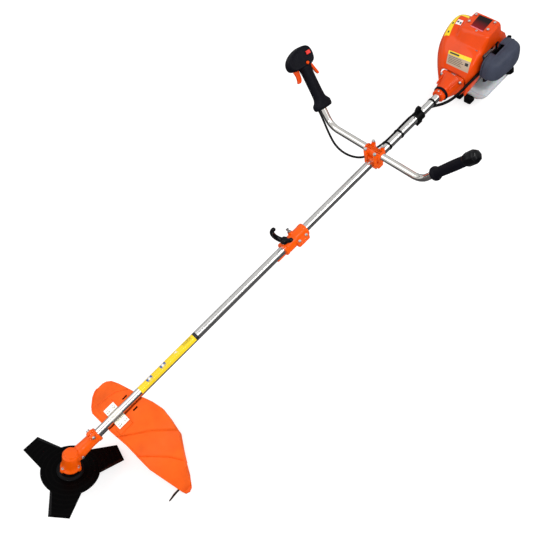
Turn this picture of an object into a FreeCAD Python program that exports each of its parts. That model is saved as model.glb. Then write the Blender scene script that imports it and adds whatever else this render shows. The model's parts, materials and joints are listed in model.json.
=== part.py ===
"""Brush cutter with a two-stroke engine, a two-piece shaft, a U-handle and a three-tooth blade.

Shaft frame: the origin is where the shaft's axis meets the blade spindle's axis, +X runs along the
shaft towards the engine, +Y is the operator's right and +Z is up. Every sub-part is drawn in this
frame, or in the head's frame, which is the same frame turned about Y by the gear head's angle, and
its Placement then carries it into the row frame, whose origin is on the ground under the middle.
"""
import FreeCAD, Part
import math
import os
import re

import Sketcher

Vector = FreeCAD.Vector
Rotation = FreeCAD.Rotation
Placement = FreeCAD.Placement

doc = FreeCAD.newDocument("BrushCutter")
sheet = doc.addObject("Spreadsheet::Sheet", "Sizes")

SIZES = {
    # whole tool
    "origin_x": 869.6,
    "origin_y": 6.45,
    "axis_height": 130.0,
    "head_angle": 30.0,
    # shaft
    "tube_radius": 13.0,
    "tube_wall": 1.5,
    "lower_tube_start": 47.0,
    "lower_tube_end": 905.0,
    "upper_tube_start": 909.0,
    "upper_tube_end": 1610.0,
    "drive_radius": 4.0,
    "journal_radius": 5.0,
    "running_gap": 0.05,
    "square_side": 6.0,
    "socket_radius": 7.5,
    "socket_start": 885.0,
    "bush_length": 14.0,
    # gear head
    "pinion_teeth": 12.0,
    "gear_teeth": 16.0,
    "cone_distance": 24.6,
    "face_width": 8.0,
    "case_radius": 22.0,
    "case_bottom": -26.0,
    "case_top": 30.0,
    "cap_top": 36.0,
    "cap_radius": 17.0,
    "chamber_radius": 17.5,
    "top_bearing_radius": 13.0,
    "pinion_bearing_radius": 12.7,
    "neck_radius": 18.5,
    "neck_end": 100.0,
    "spindle_radius": 7.0,
    "gear_seat_radius": 6.0,
    # cutter
    "blade_radius": 147.5,
    "blade_disc_radius": 80.0,
    "blade_thickness": 1.6,
    "blade_top": -42.0,
    "arbor_radius": 12.7,
    "flange_radius": 37.0,
    "cup_radius": 27.0,
    "nut_width": 17.0,
    # guard
    "guard_radius": 320.0,
    "guard_top": -3.0,
    "guard_wall": 3.0,
    "skirt_depth": 26.0,
    "guard_bolt_x": 157.0,
    "guard_bolt_pitch": 20.0,
    "guard_bolt_y": 28.0,
    # coupler
    "coupler_start": 842.0,
    "coupler_end": 937.0,
    "coupler_radius": 20.0,
    "knob_x": 856.0,
    "pin_x": 893.0,
    "pin_radius": 3.0,
    # handle
    "bar_x": 1264.7,
    "bar_height": 34.0,
    "bar_radius": 11.0,
    "bar_wall": 1.5,
    "bar_bend_y": 180.0,
    "bar_end_x": 44.0,
    "bar_end_y": 332.0,
    "bar_end_z": 216.0,
    "bar_bend_radius": 60.0,
    "clamp_length": 52.0,
    "clamp_width": 50.0,
    "clamp_bolt_x": 19.0,
    "clamp_bolt_y": 18.5,
    # cable and hanger
    "cable_radius": 3.5,
    "hanger_x": 1476.0,
    # clutch housing
    "cone_tip": 1575.0,
    "cone_ring": 1588.0,
    "cone_start": 1597.0,
    "cone_flange": 1646.0,
    "cone_end": 1658.0,
    "cone_tip_radius": 21.0,
    "cone_base_radius": 41.0,
    "drum_radius": 34.0,
    "drum_start": 1640.0,
    "drum_end": 1664.0,
    # engine
    "fan_start": 1672.0,
    "fan_end": 1690.0,
    "fan_radius": 44.0,
    "case_front": 1700.0,
    "cylinder_x": 1752.0,
    "bore_radius": 22.0,
    "starter_start": 1812.0,
    "starter_end": 1866.0,
    "pulley_radius": 30.0,
    "tank_base": -130.0,
    "shroud_wall": 2.5,
    "cap_x": 1845.0,
}


# where the screws stand on the clutch housing's flange (y, z) and on the shroud's top (x, y)
FLANGE_SCREWS = [(35, 25), (35, -25), (-35, 25), (-35, -25)]
SHROUD_SCREWS = [(1778, 36), (1814, 36), (1814, -34), (1778, -34)]


def fill_sheet():
    for row, (name, value) in enumerate(SIZES.items(), start=1):
        sheet.set("A%d" % row, name)
        sheet.set("B%d" % row, str(value))
        sheet.setAlias("B%d" % row, name)
    doc.recompute()


fill_sheet()


def size(text):
    """The value of an expression in the sheet's names, in millimetres or degrees."""
    if not isinstance(text, str):
        return float(text)
    words = {name: float(sheet.get(name)) for name in re.findall(r"[a-z][a-z_]+", text) if name in SIZES}
    total = 0.0
    for sign, term in re.findall(r"([+-]?)\s*([^+-]+)", text):
        product = 1.0
        for mark, factor in re.findall(r"([*/]?)\s*([^*/\s]+)", term.strip()):
            number = words[factor] if factor in words else float(factor)
            product = product / number if mark == "/" else product * number
        total += -product if sign == "-" else product
    return total


def bound(text):
    """The same expression with each of the sheet's names written as FreeCAD wants it."""
    def named(match):
        return "Sizes." + match.group(0) if match.group(0) in SIZES else match.group(0)

    return re.sub(r"[a-z][a-z_]+", named, text)


def bind(obj, prop, text):
    if isinstance(text, str):
        obj.setExpression(prop, bound(text))
    elif "." in prop:
        obj.setExpression(prop, repr(float(text)))
    else:
        setattr(obj, prop, text)


# ---------------------------------------------------------------- frames and registration

HEAD = Placement(Vector(0, 0, 0), Rotation(Vector(0, 1, 0), size("head_angle")))
SHAFT = Placement()
TO_ROW = Placement(Vector(-size("origin_x"), -size("origin_y"), size("axis_height")), Rotation())
ALONG_X = Vector(1, 0, 0)
ALONG_Y = Vector(0, 1, 0)
ALONG_Z = Vector(0, 0, 1)
nodes = {}


def node(label, obj, frame=SHAFT):
    """Gives a sub-part its name and carries it from its drawing frame into the row frame."""
    obj.Label = label
    obj.Placement = TO_ROW.multiply(frame).multiply(obj.Placement)
    nodes[label] = obj
    return obj


# ---------------------------------------------------------------- PartDesign helpers

def origin_plane(body, role):
    return [feature for feature in body.Origin.OriginFeatures if feature.Role == role][0]


def polygon_sketch(body, name, role, points):
    """A closed outline of straight lines whose corners are bound to the sheet."""
    sketch = body.newObject("Sketcher::SketchObject", name)
    sketch.AttachmentSupport = [(origin_plane(body, role), "")]
    sketch.MapMode = "FlatFace"
    corners = [Vector(size(a), size(b), 0) for a, b in points]
    count = len(corners)
    for i in range(count):
        sketch.addGeometry(Part.LineSegment(corners[i], corners[(i + 1) % count]), False)
    for i in range(count):
        sketch.addConstraint(Sketcher.Constraint("Coincident", i, 2, (i + 1) % count, 1))
    for i in range(count):
        for kind, text, axis in (("DistanceX", points[i][0], -2), ("DistanceY", points[i][1], -1)):
            if size(text) == 0:
                sketch.addConstraint(Sketcher.Constraint("PointOnObject", i, 1, axis))
                continue
            number = sketch.addConstraint(Sketcher.Constraint(kind, -1, 1, i, 1, size(text)))
            if isinstance(text, str):
                sketch.setExpression("Constraints[%d]" % number, bound(text))
    return sketch


def turned(name, points, axis="z"):
    """A PartDesign body turned about the drawing frame's z or x axis from (along, radius) points."""
    body = doc.addObject("PartDesign::Body", name)
    if axis == "z":
        outline = [(radius, along) for along, radius in points]
    else:
        outline = points
    sketch = polygon_sketch(body, name + "_outline", "XZ_Plane", outline)
    revolution = body.newObject("PartDesign::Revolution", name + "_turn")
    revolution.Profile = sketch
    revolution.ReferenceAxis = (sketch, ["V_Axis" if axis == "z" else "H_Axis"])
    revolution.Angle = 360
    body.Tip = revolution
    return body


def padded(name, role, points, start, length):
    """A PartDesign body padded from an outline on an origin plane, starting at a given distance."""
    body = doc.addObject("PartDesign::Body", name)
    sketch = polygon_sketch(body, name + "_outline", role, points)
    sketch.AttachmentOffset = Placement(Vector(0, 0, size(start)), Rotation())
    if isinstance(start, str):
        sketch.setExpression("AttachmentOffset.Base.z", bound(start))
    pad = body.newObject("PartDesign::Pad", name + "_pad")
    pad.Profile = sketch
    bind(pad, "Length", length)
    body.Tip = pad
    return body


# ---------------------------------------------------------------- Part helpers

serial = [0]


def fresh(kind, name):
    serial[0] += 1
    return doc.addObject(kind, "%s_%d" % (name, serial[0]))


def put(obj, at, direction=ALONG_Z, frame=SHAFT):
    """Stands a primitive at a point of the frame with its own z axis along a direction."""
    base = Vector(*[size(value) for value in at])
    obj.Placement = frame.multiply(Placement(base, Rotation(ALONG_Z, direction)))
    if frame is SHAFT:
        for letter, value in zip("xyz", at):
            if isinstance(value, str):
                obj.setExpression("Placement.Base." + letter, bound(value))
    return obj


def rod(radius, length, at, direction=ALONG_Z, frame=SHAFT):
    obj = fresh("Part::Cylinder", "rod")
    bind(obj, "Radius", radius)
    bind(obj, "Height", length)
    return put(obj, at, direction, frame)


def taper(radius1, radius2, length, at, direction=ALONG_Z, frame=SHAFT):
    obj = fresh("Part::Cone", "taper")
    bind(obj, "Radius1", radius1)
    bind(obj, "Radius2", radius2)
    bind(obj, "Height", length)
    return put(obj, at, direction, frame)


def block(lengths, at, frame=SHAFT):
    """A box whose lowest corner is at a point."""
    obj = fresh("Part::Box", "block")
    for prop, value in zip(("Length", "Width", "Height"), lengths):
        bind(obj, prop, value)
    return put(obj, at, ALONG_Z, frame)


def fused(*parts):
    obj = fresh("Part::MultiFuse", "fused")
    obj.Shapes = list(parts)
    return obj


def cut(base, *tools):
    obj = fresh("Part::Cut", "cut")
    obj.Base = base
    obj.Tool = tools[0] if len(tools) == 1 else fused(*tools)
    return obj


def common(first, second):
    obj = fresh("Part::MultiCommon", "common")
    obj.Shapes = [first, second]
    return obj


def group(*parts):
    """Separate solids that share one node, such as a set of bolts."""
    obj = fresh("Part::Compound", "group")
    obj.Links = list(parts)
    return obj


def ring(outer, inner, length, at, direction=ALONG_Z, frame=SHAFT):
    return cut(rod(outer, length, at, direction, frame), rod(inner, length, at, direction, frame))


def feature(name, shape):
    obj = fresh("Part::Feature", name)
    obj.Shape = shape
    return obj


def rounded(obj, radius, pick):
    """Fillets the edges of a boolean or a primitive that a test picks."""
    doc.recompute()
    result = fresh("Part::Fillet", "rounded")
    result.Base = obj
    edges = [(i, radius, radius) for i, edge in enumerate(obj.Shape.Edges, start=1) if pick(edge)]
    result.Edges = edges
    return result


def largest(shape):
    """The biggest solid of a shape that a cut has left in pieces."""
    return max(shape.Solids, key=lambda solid: solid.Volume)


def upright(edge):
    first, last = edge.Vertexes[0].Point, edge.Vertexes[-1].Point
    return abs(first.x - last.x) < 0.01 and abs(first.y - last.y) < 0.01 and abs(first.z - last.z) > 1


def lengthwise(edge):
    first, last = edge.Vertexes[0].Point, edge.Vertexes[-1].Point
    return abs(first.z - last.z) < 0.01 and abs(first.y - last.y) < 0.01 and abs(first.x - last.x) > 1


def screw(radius, length, at, direction=ALONG_Z, frame=SHAFT, head=1.7):
    """A socket-head screw whose head stands on the point and whose shank goes the other way."""
    base = Vector(*[size(value) for value in at])
    back = base - Vector(direction).normalize() * length
    cap = rod(radius * head, radius * 1.6, at, direction, frame)
    shank = rod(radius, length, tuple(back), direction, frame)
    recess = tuple(base + Vector(direction).normalize() * radius * 0.9)
    socket = rod(radius * 0.8, radius, recess, direction, frame)
    return cut(fused(cap, shank), socket)


def rounded_polygon(points, radius, plane):
    """A closed wire of straight runs and tangent arcs through the corners of an outline."""
    corners = [plane(a, b) for a, b in points]
    count = len(corners)
    edges = []
    starts = []
    for i in range(count):
        before, corner, after = corners[i - 1], corners[i], corners[(i + 1) % count]
        into = (corner - before).normalize()
        out = (after - corner).normalize()
        half_turn = into.getAngle(out) / 2
        reach = radius * math.tan(half_turn)
        middle = (out - into).normalize() * (radius / math.cos(half_turn) - radius)
        starts.append((corner - into * reach, corner + middle, corner + out * reach))
    for i in range(count):
        first, middle, last = starts[i]
        edges.append(Part.Arc(first, middle, last).toShape())
        edges.append(Part.LineSegment(last, starts[(i + 1) % count][0]).toShape())
    return Part.Wire(edges)


def flat_plate(points, radius, thickness, plane, direction):
    face = Part.Face(rounded_polygon(points, radius, plane))
    return face.extrude(direction * thickness)


def tube_path(points, end_radius=None):
    """Straight runs joined by tangent arcs, and the radius of each arc."""
    edges = []
    radii = []
    start = points[0]
    for before, corner, after in zip(points, points[1:], points[2:]):
        into = corner - before
        out = after - corner
        shorter = min(into.Length, out.Length)
        half_turn = into.getAngle(out) / 2
        radius = end_radius or 0.45 * shorter / math.tan(half_turn)
        reach = radius * math.tan(half_turn)
        into.normalize()
        out.normalize()
        middle = corner + (out - into).normalize() * (radius / math.cos(half_turn) - radius)
        first, last = corner - into * reach, corner + out * reach
        edges.append(Part.LineSegment(start, first).toShape())
        edges.append(Part.Arc(first, middle, last).toShape())
        radii.append(radius)
        start = last
    edges.append(Part.LineSegment(start, points[-1]).toShape())
    return Part.Wire(edges), radii


def swept(points, radius, end_radius=None):
    """A round bar along a path, with its length and its arcs' radii."""
    path, radii = tube_path(points, end_radius)
    direction = points[1] - points[0]
    circle = Part.Wire(Part.Circle(points[0], direction, radius).toShape())
    solid = path.makePipeShell([circle], True, False)
    return solid, path.Length, radii


# ---------------------------------------------------------------- gear head

def apex_frustum(half_angle, near, far):
    """A cone about z from the gear pair's apex, between two distances along its slant."""
    points = [
        Vector(0, 0, near * math.cos(half_angle)),
        Vector(near * math.sin(half_angle), 0, near * math.cos(half_angle)),
        Vector(far * math.sin(half_angle), 0, far * math.cos(half_angle)),
        Vector(0, 0, far * math.cos(half_angle)),
    ]
    face = Part.Face(Part.makePolygon(points + points[:1]))
    return face.revolve(Vector(0, 0, 0), ALONG_Z, 360)


def bevel_tooth(pitch_angle, near, far, middle_angle):
    """One straight tooth: a trapezoid at the big end, drawn together towards the apex."""
    root, tip = math.radians(4.5), math.radians(2.2)
    root_half, tip_half = 1.45, 0.72
    shares = [(pitch_angle - root, -root_half), (pitch_angle - root, root_half),
              (pitch_angle + tip, tip_half), (pitch_angle + tip, -tip_half)]
    big = []
    for angle, half in shares:
        turn = middle_angle + half / (far * math.sin(angle))
        ray = Vector(math.sin(angle) * math.cos(turn), math.sin(angle) * math.sin(turn), math.cos(angle))
        big.append(ray * far)
    small = [corner * (near / far) for corner in big]
    loft = Part.makeLoft([Part.makePolygon(small + small[:1]), Part.makePolygon(big + big[:1])], True, True)
    return loft


def bevel_gear(teeth, mate_teeth, first_tooth, hub_radius, back, bore):
    """A straight bevel gear about z with its apex at the origin, teeth out, back face at a height."""
    shaft_angle = math.radians(90 - size("head_angle"))
    pitch_angle = math.atan2(math.sin(shaft_angle), mate_teeth / teeth + math.cos(shaft_angle))
    far = size("cone_distance")
    near = far - size("face_width")
    root_angle = pitch_angle - math.radians(3.2)
    blank = apex_frustum(root_angle, near, far)
    top = far * math.cos(root_angle)
    blank = blank.fuse(Part.makeCylinder(hub_radius, back - top + 0.5, Vector(0, 0, top - 0.5)))
    pitch = 2 * math.pi / teeth
    for i in range(int(teeth)):
        blank = blank.fuse(bevel_tooth(pitch_angle, near, far, first_tooth + i * pitch))
    if bore:
        blank = blank.cut(Part.makeCylinder(bore, 2 * back, Vector(0, 0, -back / 2)))
    return blank.removeSplitter()


def gear_pair():
    teeth, mate = size("pinion_teeth"), size("gear_teeth")
    # the drawing's x axis points from the wheel's axis towards the shaft, and from the shaft's axis
    # towards the wheel once the pinion is laid along X, so a tooth meets a gap there
    wheel = bevel_gear(mate, teeth, math.pi / mate, 12.6, 22.6, size("gear_seat_radius"))
    node("output_gear", feature("output_gear", wheel), HEAD)
    pinion = bevel_gear(teeth, mate, 0.0, 9.0, 25.6, size("journal_radius"))
    along_shaft = Placement(Vector(), Rotation(Vector(0, 0, 1), Vector(0, -1, 0), Vector(1, 0, 0), "XYZ"))
    node("pinion_gear", feature("pinion_gear", pinion), along_shaft)


def gear_case():
    down = "case_bottom"
    solids = fused(
        rod("case_radius", "case_top - case_bottom", (0, 0, down), ALONG_Z, HEAD),
        taper("cap_radius + 2", "cap_radius - 1", "cap_top - case_top", (0, 0, "case_top"), ALONG_Z, HEAD),
        rod("case_radius + 5", 6, (0, 0, down), ALONG_Z, HEAD),
        rod("neck_radius", "neck_end - 10", (10, 0, 0), ALONG_X),
        rod("neck_radius + 1.5", 8, ("neck_end - 8", 0, 0), ALONG_X),
        block((26, 24, 12), (72, -12, 15)),
        *[rod(7.5, 9, (24 * math.cos(a), 24 * math.sin(a), down), ALONG_Z, HEAD)
          for a in (math.radians(k) for k in (60, 180, 300))])
    hollows = fused(
        rod("chamber_radius", 49, (0, 0, down), ALONG_Z, HEAD),
        rod("top_bearing_radius", 10, (0, 0, 22), ALONG_Z, HEAD),
        rod("pinion_bearing_radius", 40, (6, 0, 0), ALONG_X),
        rod("tube_radius + running_gap", 60, (46, 0, 0), ALONG_X),
        block((40, 1.6, 24), (68, -0.8, 8)),
        rod(3.05, 40, (86, -20, 21.5), ALONG_Y))
    node("gear_case", cut(solids, hollows))


def head_bearings():
    spindle_bore = "spindle_radius + running_gap"
    shaft_bore = "journal_radius + running_gap"
    rings = [
        ring("chamber_radius", spindle_bore, 10, (0, 0, -20), ALONG_Z, HEAD),
        ring("top_bearing_radius", shaft_bore, 8, (0, 0, 23), ALONG_Z, HEAD),
        ring("pinion_bearing_radius", shaft_bore, 8, (26.2, 0, 0), ALONG_X),
        ring("pinion_bearing_radius", shaft_bore, 8, (36, 0, 0), ALONG_X),
    ]
    node("head_bearings", group(*rings))


def head_bolts():
    bolts = [screw(3.0, 22, (86, 12, 21.5), ALONG_Y)]
    top = size("guard_top") + 2.0
    for step in (0, 1):
        for side in (-1, 1):
            x = size("guard_bolt_x") + step * size("guard_bolt_pitch")
            y = side * size("guard_bolt_y")
            bolts.append(screw(2.9, 12, (x, y, top), ALONG_Z))
    node("head_bolts", group(*bolts))


def output_spindle():
    points = [
        (-60, 0), (30.8, 0), (30.8, "journal_radius"), (22.8, "journal_radius"), (22.8, "gear_seat_radius"),
        (-8, "gear_seat_radius"), (-8, "spindle_radius"), (-28, "spindle_radius"),
        (-28, "gear_seat_radius"), (-43.5, "gear_seat_radius"), (-43.5, "journal_radius"),
        (-60, "journal_radius"),
    ]
    node("output_spindle", turned("output_spindle", points), HEAD)


# ---------------------------------------------------------------- cutter

def cutting_blade():
    """Three-tooth blade: a disc with a straight-sided tooth every 120 degrees and a round arbor hole."""
    tip, disc = size("blade_radius"), size("blade_disc_radius")
    root_start, tip_start, tip_end, root_end = 195.6, 214.6, 236.1, 257.9

    def at(radius, degrees):
        angle = math.radians(degrees)
        return Vector(radius * math.cos(angle), radius * math.sin(angle), 0)

    edges = []
    for third in (0, 120, 240):
        corners = [at(disc, third + root_start), at(tip, third + tip_start),
                   at(tip, third + tip_end), at(disc, third + root_end)]
        edges.extend(Part.LineSegment(a, b).toShape() for a, b in zip(corners, corners[1:]))
        next_root = third + 120 + root_start
        middle = at(disc, (third + root_end + next_root) / 2)
        edges.append(Part.Arc(corners[3], middle, at(disc, next_root)).toShape())
    outline = Part.Face(Part.Wire(edges))
    plate = outline.extrude(Vector(0, 0, size("blade_thickness")))
    hole = Part.makeCylinder(size("arbor_radius"), 10, Vector(0, 0, -4))
    blade = feature("cutting_blade", plate.cut(hole))
    blade.Placement = Placement(Vector(0, 0, size("blade_top - blade_thickness")), Rotation())
    node("cutting_blade", blade, HEAD)


def cutter_clamping():
    flange = [
        ("blade_top", "gear_seat_radius"), (-28.4, "gear_seat_radius"), (-28.4, 11), (-33, 11), (-35, 21),
        (-36.5, 22), (-37.5, 30), (-39, 31), (-40, "flange_radius"), ("blade_top", "flange_radius"),
        ("blade_top", "arbor_radius - running_gap"), ("blade_top - 1.4", "arbor_radius - running_gap"),
        ("blade_top - 1.4", "gear_seat_radius"),
    ]
    node("inner_flange", turned("inner_flange", flange), HEAD)
    cup_top = "blade_top - blade_thickness"
    cup = [
        (cup_top, "journal_radius"), (cup_top, "cup_radius"), (-47, "cup_radius"), (-58, 21), (-58, 18),
        (-49, 20), (-47, 18), (-47, "journal_radius"),
    ]
    node("glide_cup", turned("glide_cup", cup), HEAD)
    across = size("nut_width") / math.sqrt(3)
    corners = [(across * math.cos(math.radians(60 * k)), across * math.sin(math.radians(60 * k)))
               for k in range(6)]
    nut = padded("blade_nut", "XY_Plane", corners, -56, 9)
    hole = nut.newObject("Sketcher::SketchObject", "blade_nut_bore")
    hole.AttachmentSupport = [(origin_plane(nut, "XY_Plane"), "")]
    hole.MapMode = "FlatFace"
    hole.AttachmentOffset = Placement(Vector(0, 0, -56), Rotation())
    hole.addGeometry(Part.Circle(Vector(), ALONG_Z, size("journal_radius")), False)
    hole.addConstraint(Sketcher.Constraint("Coincident", 0, 3, -1, 1))
    number = hole.addConstraint(Sketcher.Constraint("Radius", 0, size("journal_radius")))
    hole.setExpression("Constraints[%d]" % number, bound("journal_radius"))
    pocket = nut.newObject("PartDesign::Pocket", "blade_nut_pocket")
    pocket.Profile = hole
    pocket.Type = "ThroughAll"
    pocket.Midplane = True
    nut.Tip = pocket
    node("blade_nut", nut, HEAD)


# ---------------------------------------------------------------- guard

GUARD_OUTLINE = [
    (122, 62), (126, -18), (132, -80), (130, -165), (140, -205), (152, -254), (168, -262), (199, -236),
    (230, -191), (256, -150), (270, -75), (252, -18), (240, 36), (220, 112), (206, 123), (168, 124),
    (131, 84),
]


def flat(height):
    return lambda a, b: Vector(a, b, height)


def guard_shell():
    """An arched sheet over the blade's rear with a turned-down skirt and a cradle for the tube."""
    radius, wall, top = size("guard_radius"), size("guard_wall"), size("guard_top")
    ground = size("tank_base")
    outline = rounded_polygon(GUARD_OUTLINE, 9.0, flat(ground))
    above = Vector(0, 0, 200)
    prism = Part.Face(outline).extrude(above)
    inner_prism = Part.Face(outline.makeOffset2D(-wall)).extrude(above)

    def barrel(r):
        return Part.makeCylinder(r, 400, Vector(50, 0, top - radius), ALONG_X)

    sheet_metal = prism.common(barrel(radius).cut(barrel(radius - wall)))
    rim = prism.cut(inner_prism).common(barrel(radius - 0.5).cut(barrel(radius - size("skirt_depth"))))
    rim = rim.common(Part.makeBox(200, 500, 300, Vector(146, -300, -200)))
    channel = Part.makeCylinder(16.5, 122, Vector(125, 0, 0), ALONG_X)
    channel = channel.common(Part.makeBox(200, 60, 30, Vector(100, -30, -30 - 3)))
    pad = Part.makeBox(58, 100, 6, Vector(136, -50, top - 6))
    shell = sheet_metal.fuse([rim, channel, pad])
    tools = [Part.makeCylinder(size("tube_radius") + 0.3, 300, Vector(80, 0, 0), ALONG_X)]
    for side in (-1, 1):
        for near in (22, 33):
            low = min(side * near, side * (near + 6))
            tools.append(Part.makeBox(20, 6, 40, Vector(206, low, -30)))
        for step in (0, 1):
            x = size("guard_bolt_x") + step * size("guard_bolt_pitch")
            tools.append(Part.makeCylinder(2.95, 40, Vector(x, side * size("guard_bolt_y"), -30)))
    node("guard_shell", feature("guard_shell", shell.cut(tools).removeSplitter()))


def guard_clamp():
    start, length = "guard_bolt_x - 8", "guard_bolt_pitch + 16"
    wings = [block((length, 25, 2), (start, y, "guard_top")) for y in (-38.2, 13.2)]
    arch = common(ring("tube_radius + 2", "tube_radius", length, (start, 0, 0), ALONG_X),
                  block((length, 40, 20), (start, -20, "guard_top")))
    holes = []
    for step in (0, 1):
        for side in (-1, 1):
            x = size("guard_bolt_x") + step * size("guard_bolt_pitch")
            holes.append(rod(2.95, 10, (x, side * size("guard_bolt_y"), -8)))
    node("guard_clamp", cut(fused(arch, *wings), *holes))


def line_knife():
    """The line cutter's blade and the bracket that holds it, both notched where the guard passes."""
    guard = nodes["guard_shell"].Shape.copy()
    guard.Placement = Placement()
    bracket = Part.makeBox(30, 11, 14, Vector(134, -237.5, -127))
    node("knife_bracket", feature("knife_bracket", largest(bracket.cut(guard))))
    outline = [(163, -112), (130, -112), (106, -124), (110, -129), (140, -124), (163, -125)]
    plate = flat_plate(outline, 1.5, 1.6, lambda a, b: Vector(a, -239.4, b), ALONG_Y)
    node("line_knife", feature("line_knife", largest(plate.cut(guard))))


# ---------------------------------------------------------------- shaft

PIN = Placement(Vector(0, 0, 0), Rotation(Vector(1, 0, 0), -42))


def tubes():
    inner = "tube_radius - tube_wall"
    lower = turned("lower_tube_wall", [
        ("lower_tube_start", inner), ("lower_tube_end", inner),
        ("lower_tube_end", "tube_radius"), ("lower_tube_start", "tube_radius")], "x")
    keyway = fused(rod("pin_radius + 0.4", 12, ("pin_x", 0, 8), ALONG_Z, PIN),
                   block(("lower_tube_end - pin_x + 1", 6.8, 12), ("pin_x", -3.4, 8), PIN))
    node("lower_tube", cut(lower, keyway))
    upper = [("upper_tube_start", inner), ("upper_tube_end", inner),
             ("upper_tube_end", "tube_radius"), ("upper_tube_start", "tube_radius")]
    node("upper_tube", turned("upper_tube", upper, "x"))


def drive_shafts():
    lower = turned("lower_shaft_round", [
        (15, 0), ("socket_start - 5", 0), ("socket_start - 5", "drive_radius"), (46, "drive_radius"),
        (46, "journal_radius"), (15, "journal_radius")], "x")
    corner = ("socket_start - 6", "-square_side/2", "-square_side/2")
    square = block((46, "square_side", "square_side"), corner)
    node("lower_drive_shaft", fused(lower, square))
    upper = turned("upper_shaft_round", [
        ("socket_start", 0), ("drum_start", 0), ("drum_start", "journal_radius"), (1612, "journal_radius"),
        (1612, "drive_radius"), (946, "drive_radius"), (940, "socket_radius"),
        ("socket_start", "socket_radius")], "x")
    play = 0.12
    hole_side = size("square_side") + 2 * play
    hole = block((46, hole_side, hole_side), ("socket_start - 1", -hole_side / 2, -hole_side / 2))
    node("upper_drive_shaft", cut(upper, hole))


def shaft_bushes():
    inner = "drive_radius + running_gap"
    outer = "tube_radius - tube_wall"
    node("lower_shaft_bushes", group(*[ring(outer, inner, "bush_length", (x, 0, 0), ALONG_X)
                                       for x in (250, 480, 710)]))
    bushes = [ring(outer, inner, "bush_length", (x, 0, 0), ALONG_X) for x in (1050, 1250, 1450)]
    bushes.append(ring(15, "journal_radius + running_gap", 12, (1616, 0, 0), ALONG_X))
    node("upper_shaft_bushes", group(*bushes))


# ---------------------------------------------------------------- coupler

def coupler():
    length = "coupler_end - coupler_start"
    solids = fused(
        rod("coupler_radius", length, ("coupler_start", 0, 0), ALONG_X),
        rod("coupler_radius + 2", 9, ("coupler_start", 0, 0), ALONG_X),
        rod("coupler_radius + 1.5", 9, ("coupler_end - 9", 0, 0), ALONG_X),
        rod(10, 26, ("knob_x", 0, 0)),
        rod(7.5, 26, ("pin_x", 0, 0), ALONG_Z, PIN),
        block((52, 17, 20), (880, -32, -10)),
        common(ring("tube_radius + 4", "tube_radius + 0.4", 40, (807, 0, 0), ALONG_X),
               block((40, 20, 22), (807, -20, -20))))
    hollows = fused(
        rod("tube_radius + running_gap", 200, (800, 0, 0), ALONG_X),
        rod(4.05, 20, ("knob_x", 0, 10)),
        rod("pin_radius + running_gap", 20, ("pin_x", 0, 10), ALONG_Z, PIN),
        block((70, 24, 1.6), (870, -34, -0.8)),
        *[rod(2.55, 40, (x, -26, -20)) for x in (892, 920)])
    node("coupler_body", cut(solids, hollows))


def coupler_knob():
    """A screw with a hub and two upswept wings."""
    centre = 66.0
    wing = ring(36, 25.5, 9, (0, 4.5, centre), Vector(0, -1, 0))
    wing = common(wing, block((80, 20, 34), (-40, -10, 28)))
    hub = fused(taper(9, 11, 10, (0, 0, 26.3)), taper(11, 8, 8, (0, 0, 36.3)))
    knob = fused(rod(4, 15, (0, 0, 13.3)), hub, wing)
    knob.Placement = Placement(Vector(size("knob_x"), 0, 0), Rotation(ALONG_Z, 116))
    node("coupler_knob", knob)


def lock_pin():
    """A spring pin whose nose rides in the lower tube's open keyway."""
    solids = fused(
        rod("pin_radius", 19.4, (0, 0, 12), ALONG_Z),
        rod(6, 3, (0, 0, 26.6), ALONG_Z),
        rod(3.6, 8, (0, 0, 29), ALONG_Z),
        rod(5, 2.5, (0, 0, 36), ALONG_Z))
    solids.Placement = PIN.multiply(Placement(Vector(size("pin_x"), 0, 0), Rotation()))
    node("lock_pin", solids)


# ---------------------------------------------------------------- handle

def bar_points():
    x, low = size("bar_x"), size("bar_height")
    far_x = x + size("bar_end_x")
    bend, end, high = size("bar_bend_y"), size("bar_end_y"), size("bar_end_z")
    return [Vector(far_x, end, high), Vector(x, bend, low), Vector(x, -bend, low), Vector(far_x, -end, high)]


def handlebar():
    points = bar_points()
    outer = swept(points, size("bar_radius"), size("bar_bend_radius"))[0]
    inner = swept(points, size("bar_radius") - size("bar_wall"), size("bar_bend_radius"))[0]
    node("handlebar", feature("handlebar", outer.cut(inner)))


def arm_frame(side):
    """A frame with z out along one arm of the bar from its bend and x towards the cutting head."""
    end, bend = (bar_points()[0], bar_points()[1]) if side > 0 else (bar_points()[3], bar_points()[2])
    out = (end - bend).normalize()
    front = Vector(-1, 0, 0)
    front = (front - out * front.dot(out)).normalize()
    return Placement(bend, Rotation(front, out.cross(front), out, "ZXY"))


LEFT_ARM = arm_frame(1)
RIGHT_ARM = arm_frame(-1)


def handle_clamp():
    low_x = size("bar_x") - size("clamp_length") / 2
    length, width = "clamp_length", "clamp_width"
    half = -size("clamp_width") / 2
    tube = dict(radius="tube_radius", length=60, at=(low_x - 2, 0, 0), direction=ALONG_X)
    bar = dict(radius="bar_radius + running_gap", length=60, at=("bar_x", -30, "bar_height"), direction=ALONG_Y)

    def holes():
        return [rod(3.05, 120, (size("bar_x") + dx * size("clamp_bolt_x"), dy * size("clamp_bolt_y"), -40))
                for dx in (-1, 1) for dy in (-1, 1)]

    lower = block((length, width, 21.5), (low_x, half, -22))
    node("handle_clamp_lower", cut(rounded(lower, 6, lengthwise), rod(**tube), *holes()))
    middle = block((length, width, "bar_height - 1"), (low_x, half, 0.5))
    node("handle_clamp_middle", cut(middle, rod(**tube), rod(**bar), *holes()))
    cap = block((length, width, 17), (low_x, half, "bar_height + 0.5"))
    node("handle_clamp_cap", cut(rounded(cap, 6, lambda e: lengthwise(e) and e.BoundBox.ZMin > 50),
                                 rod(**bar), *holes()))


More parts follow.
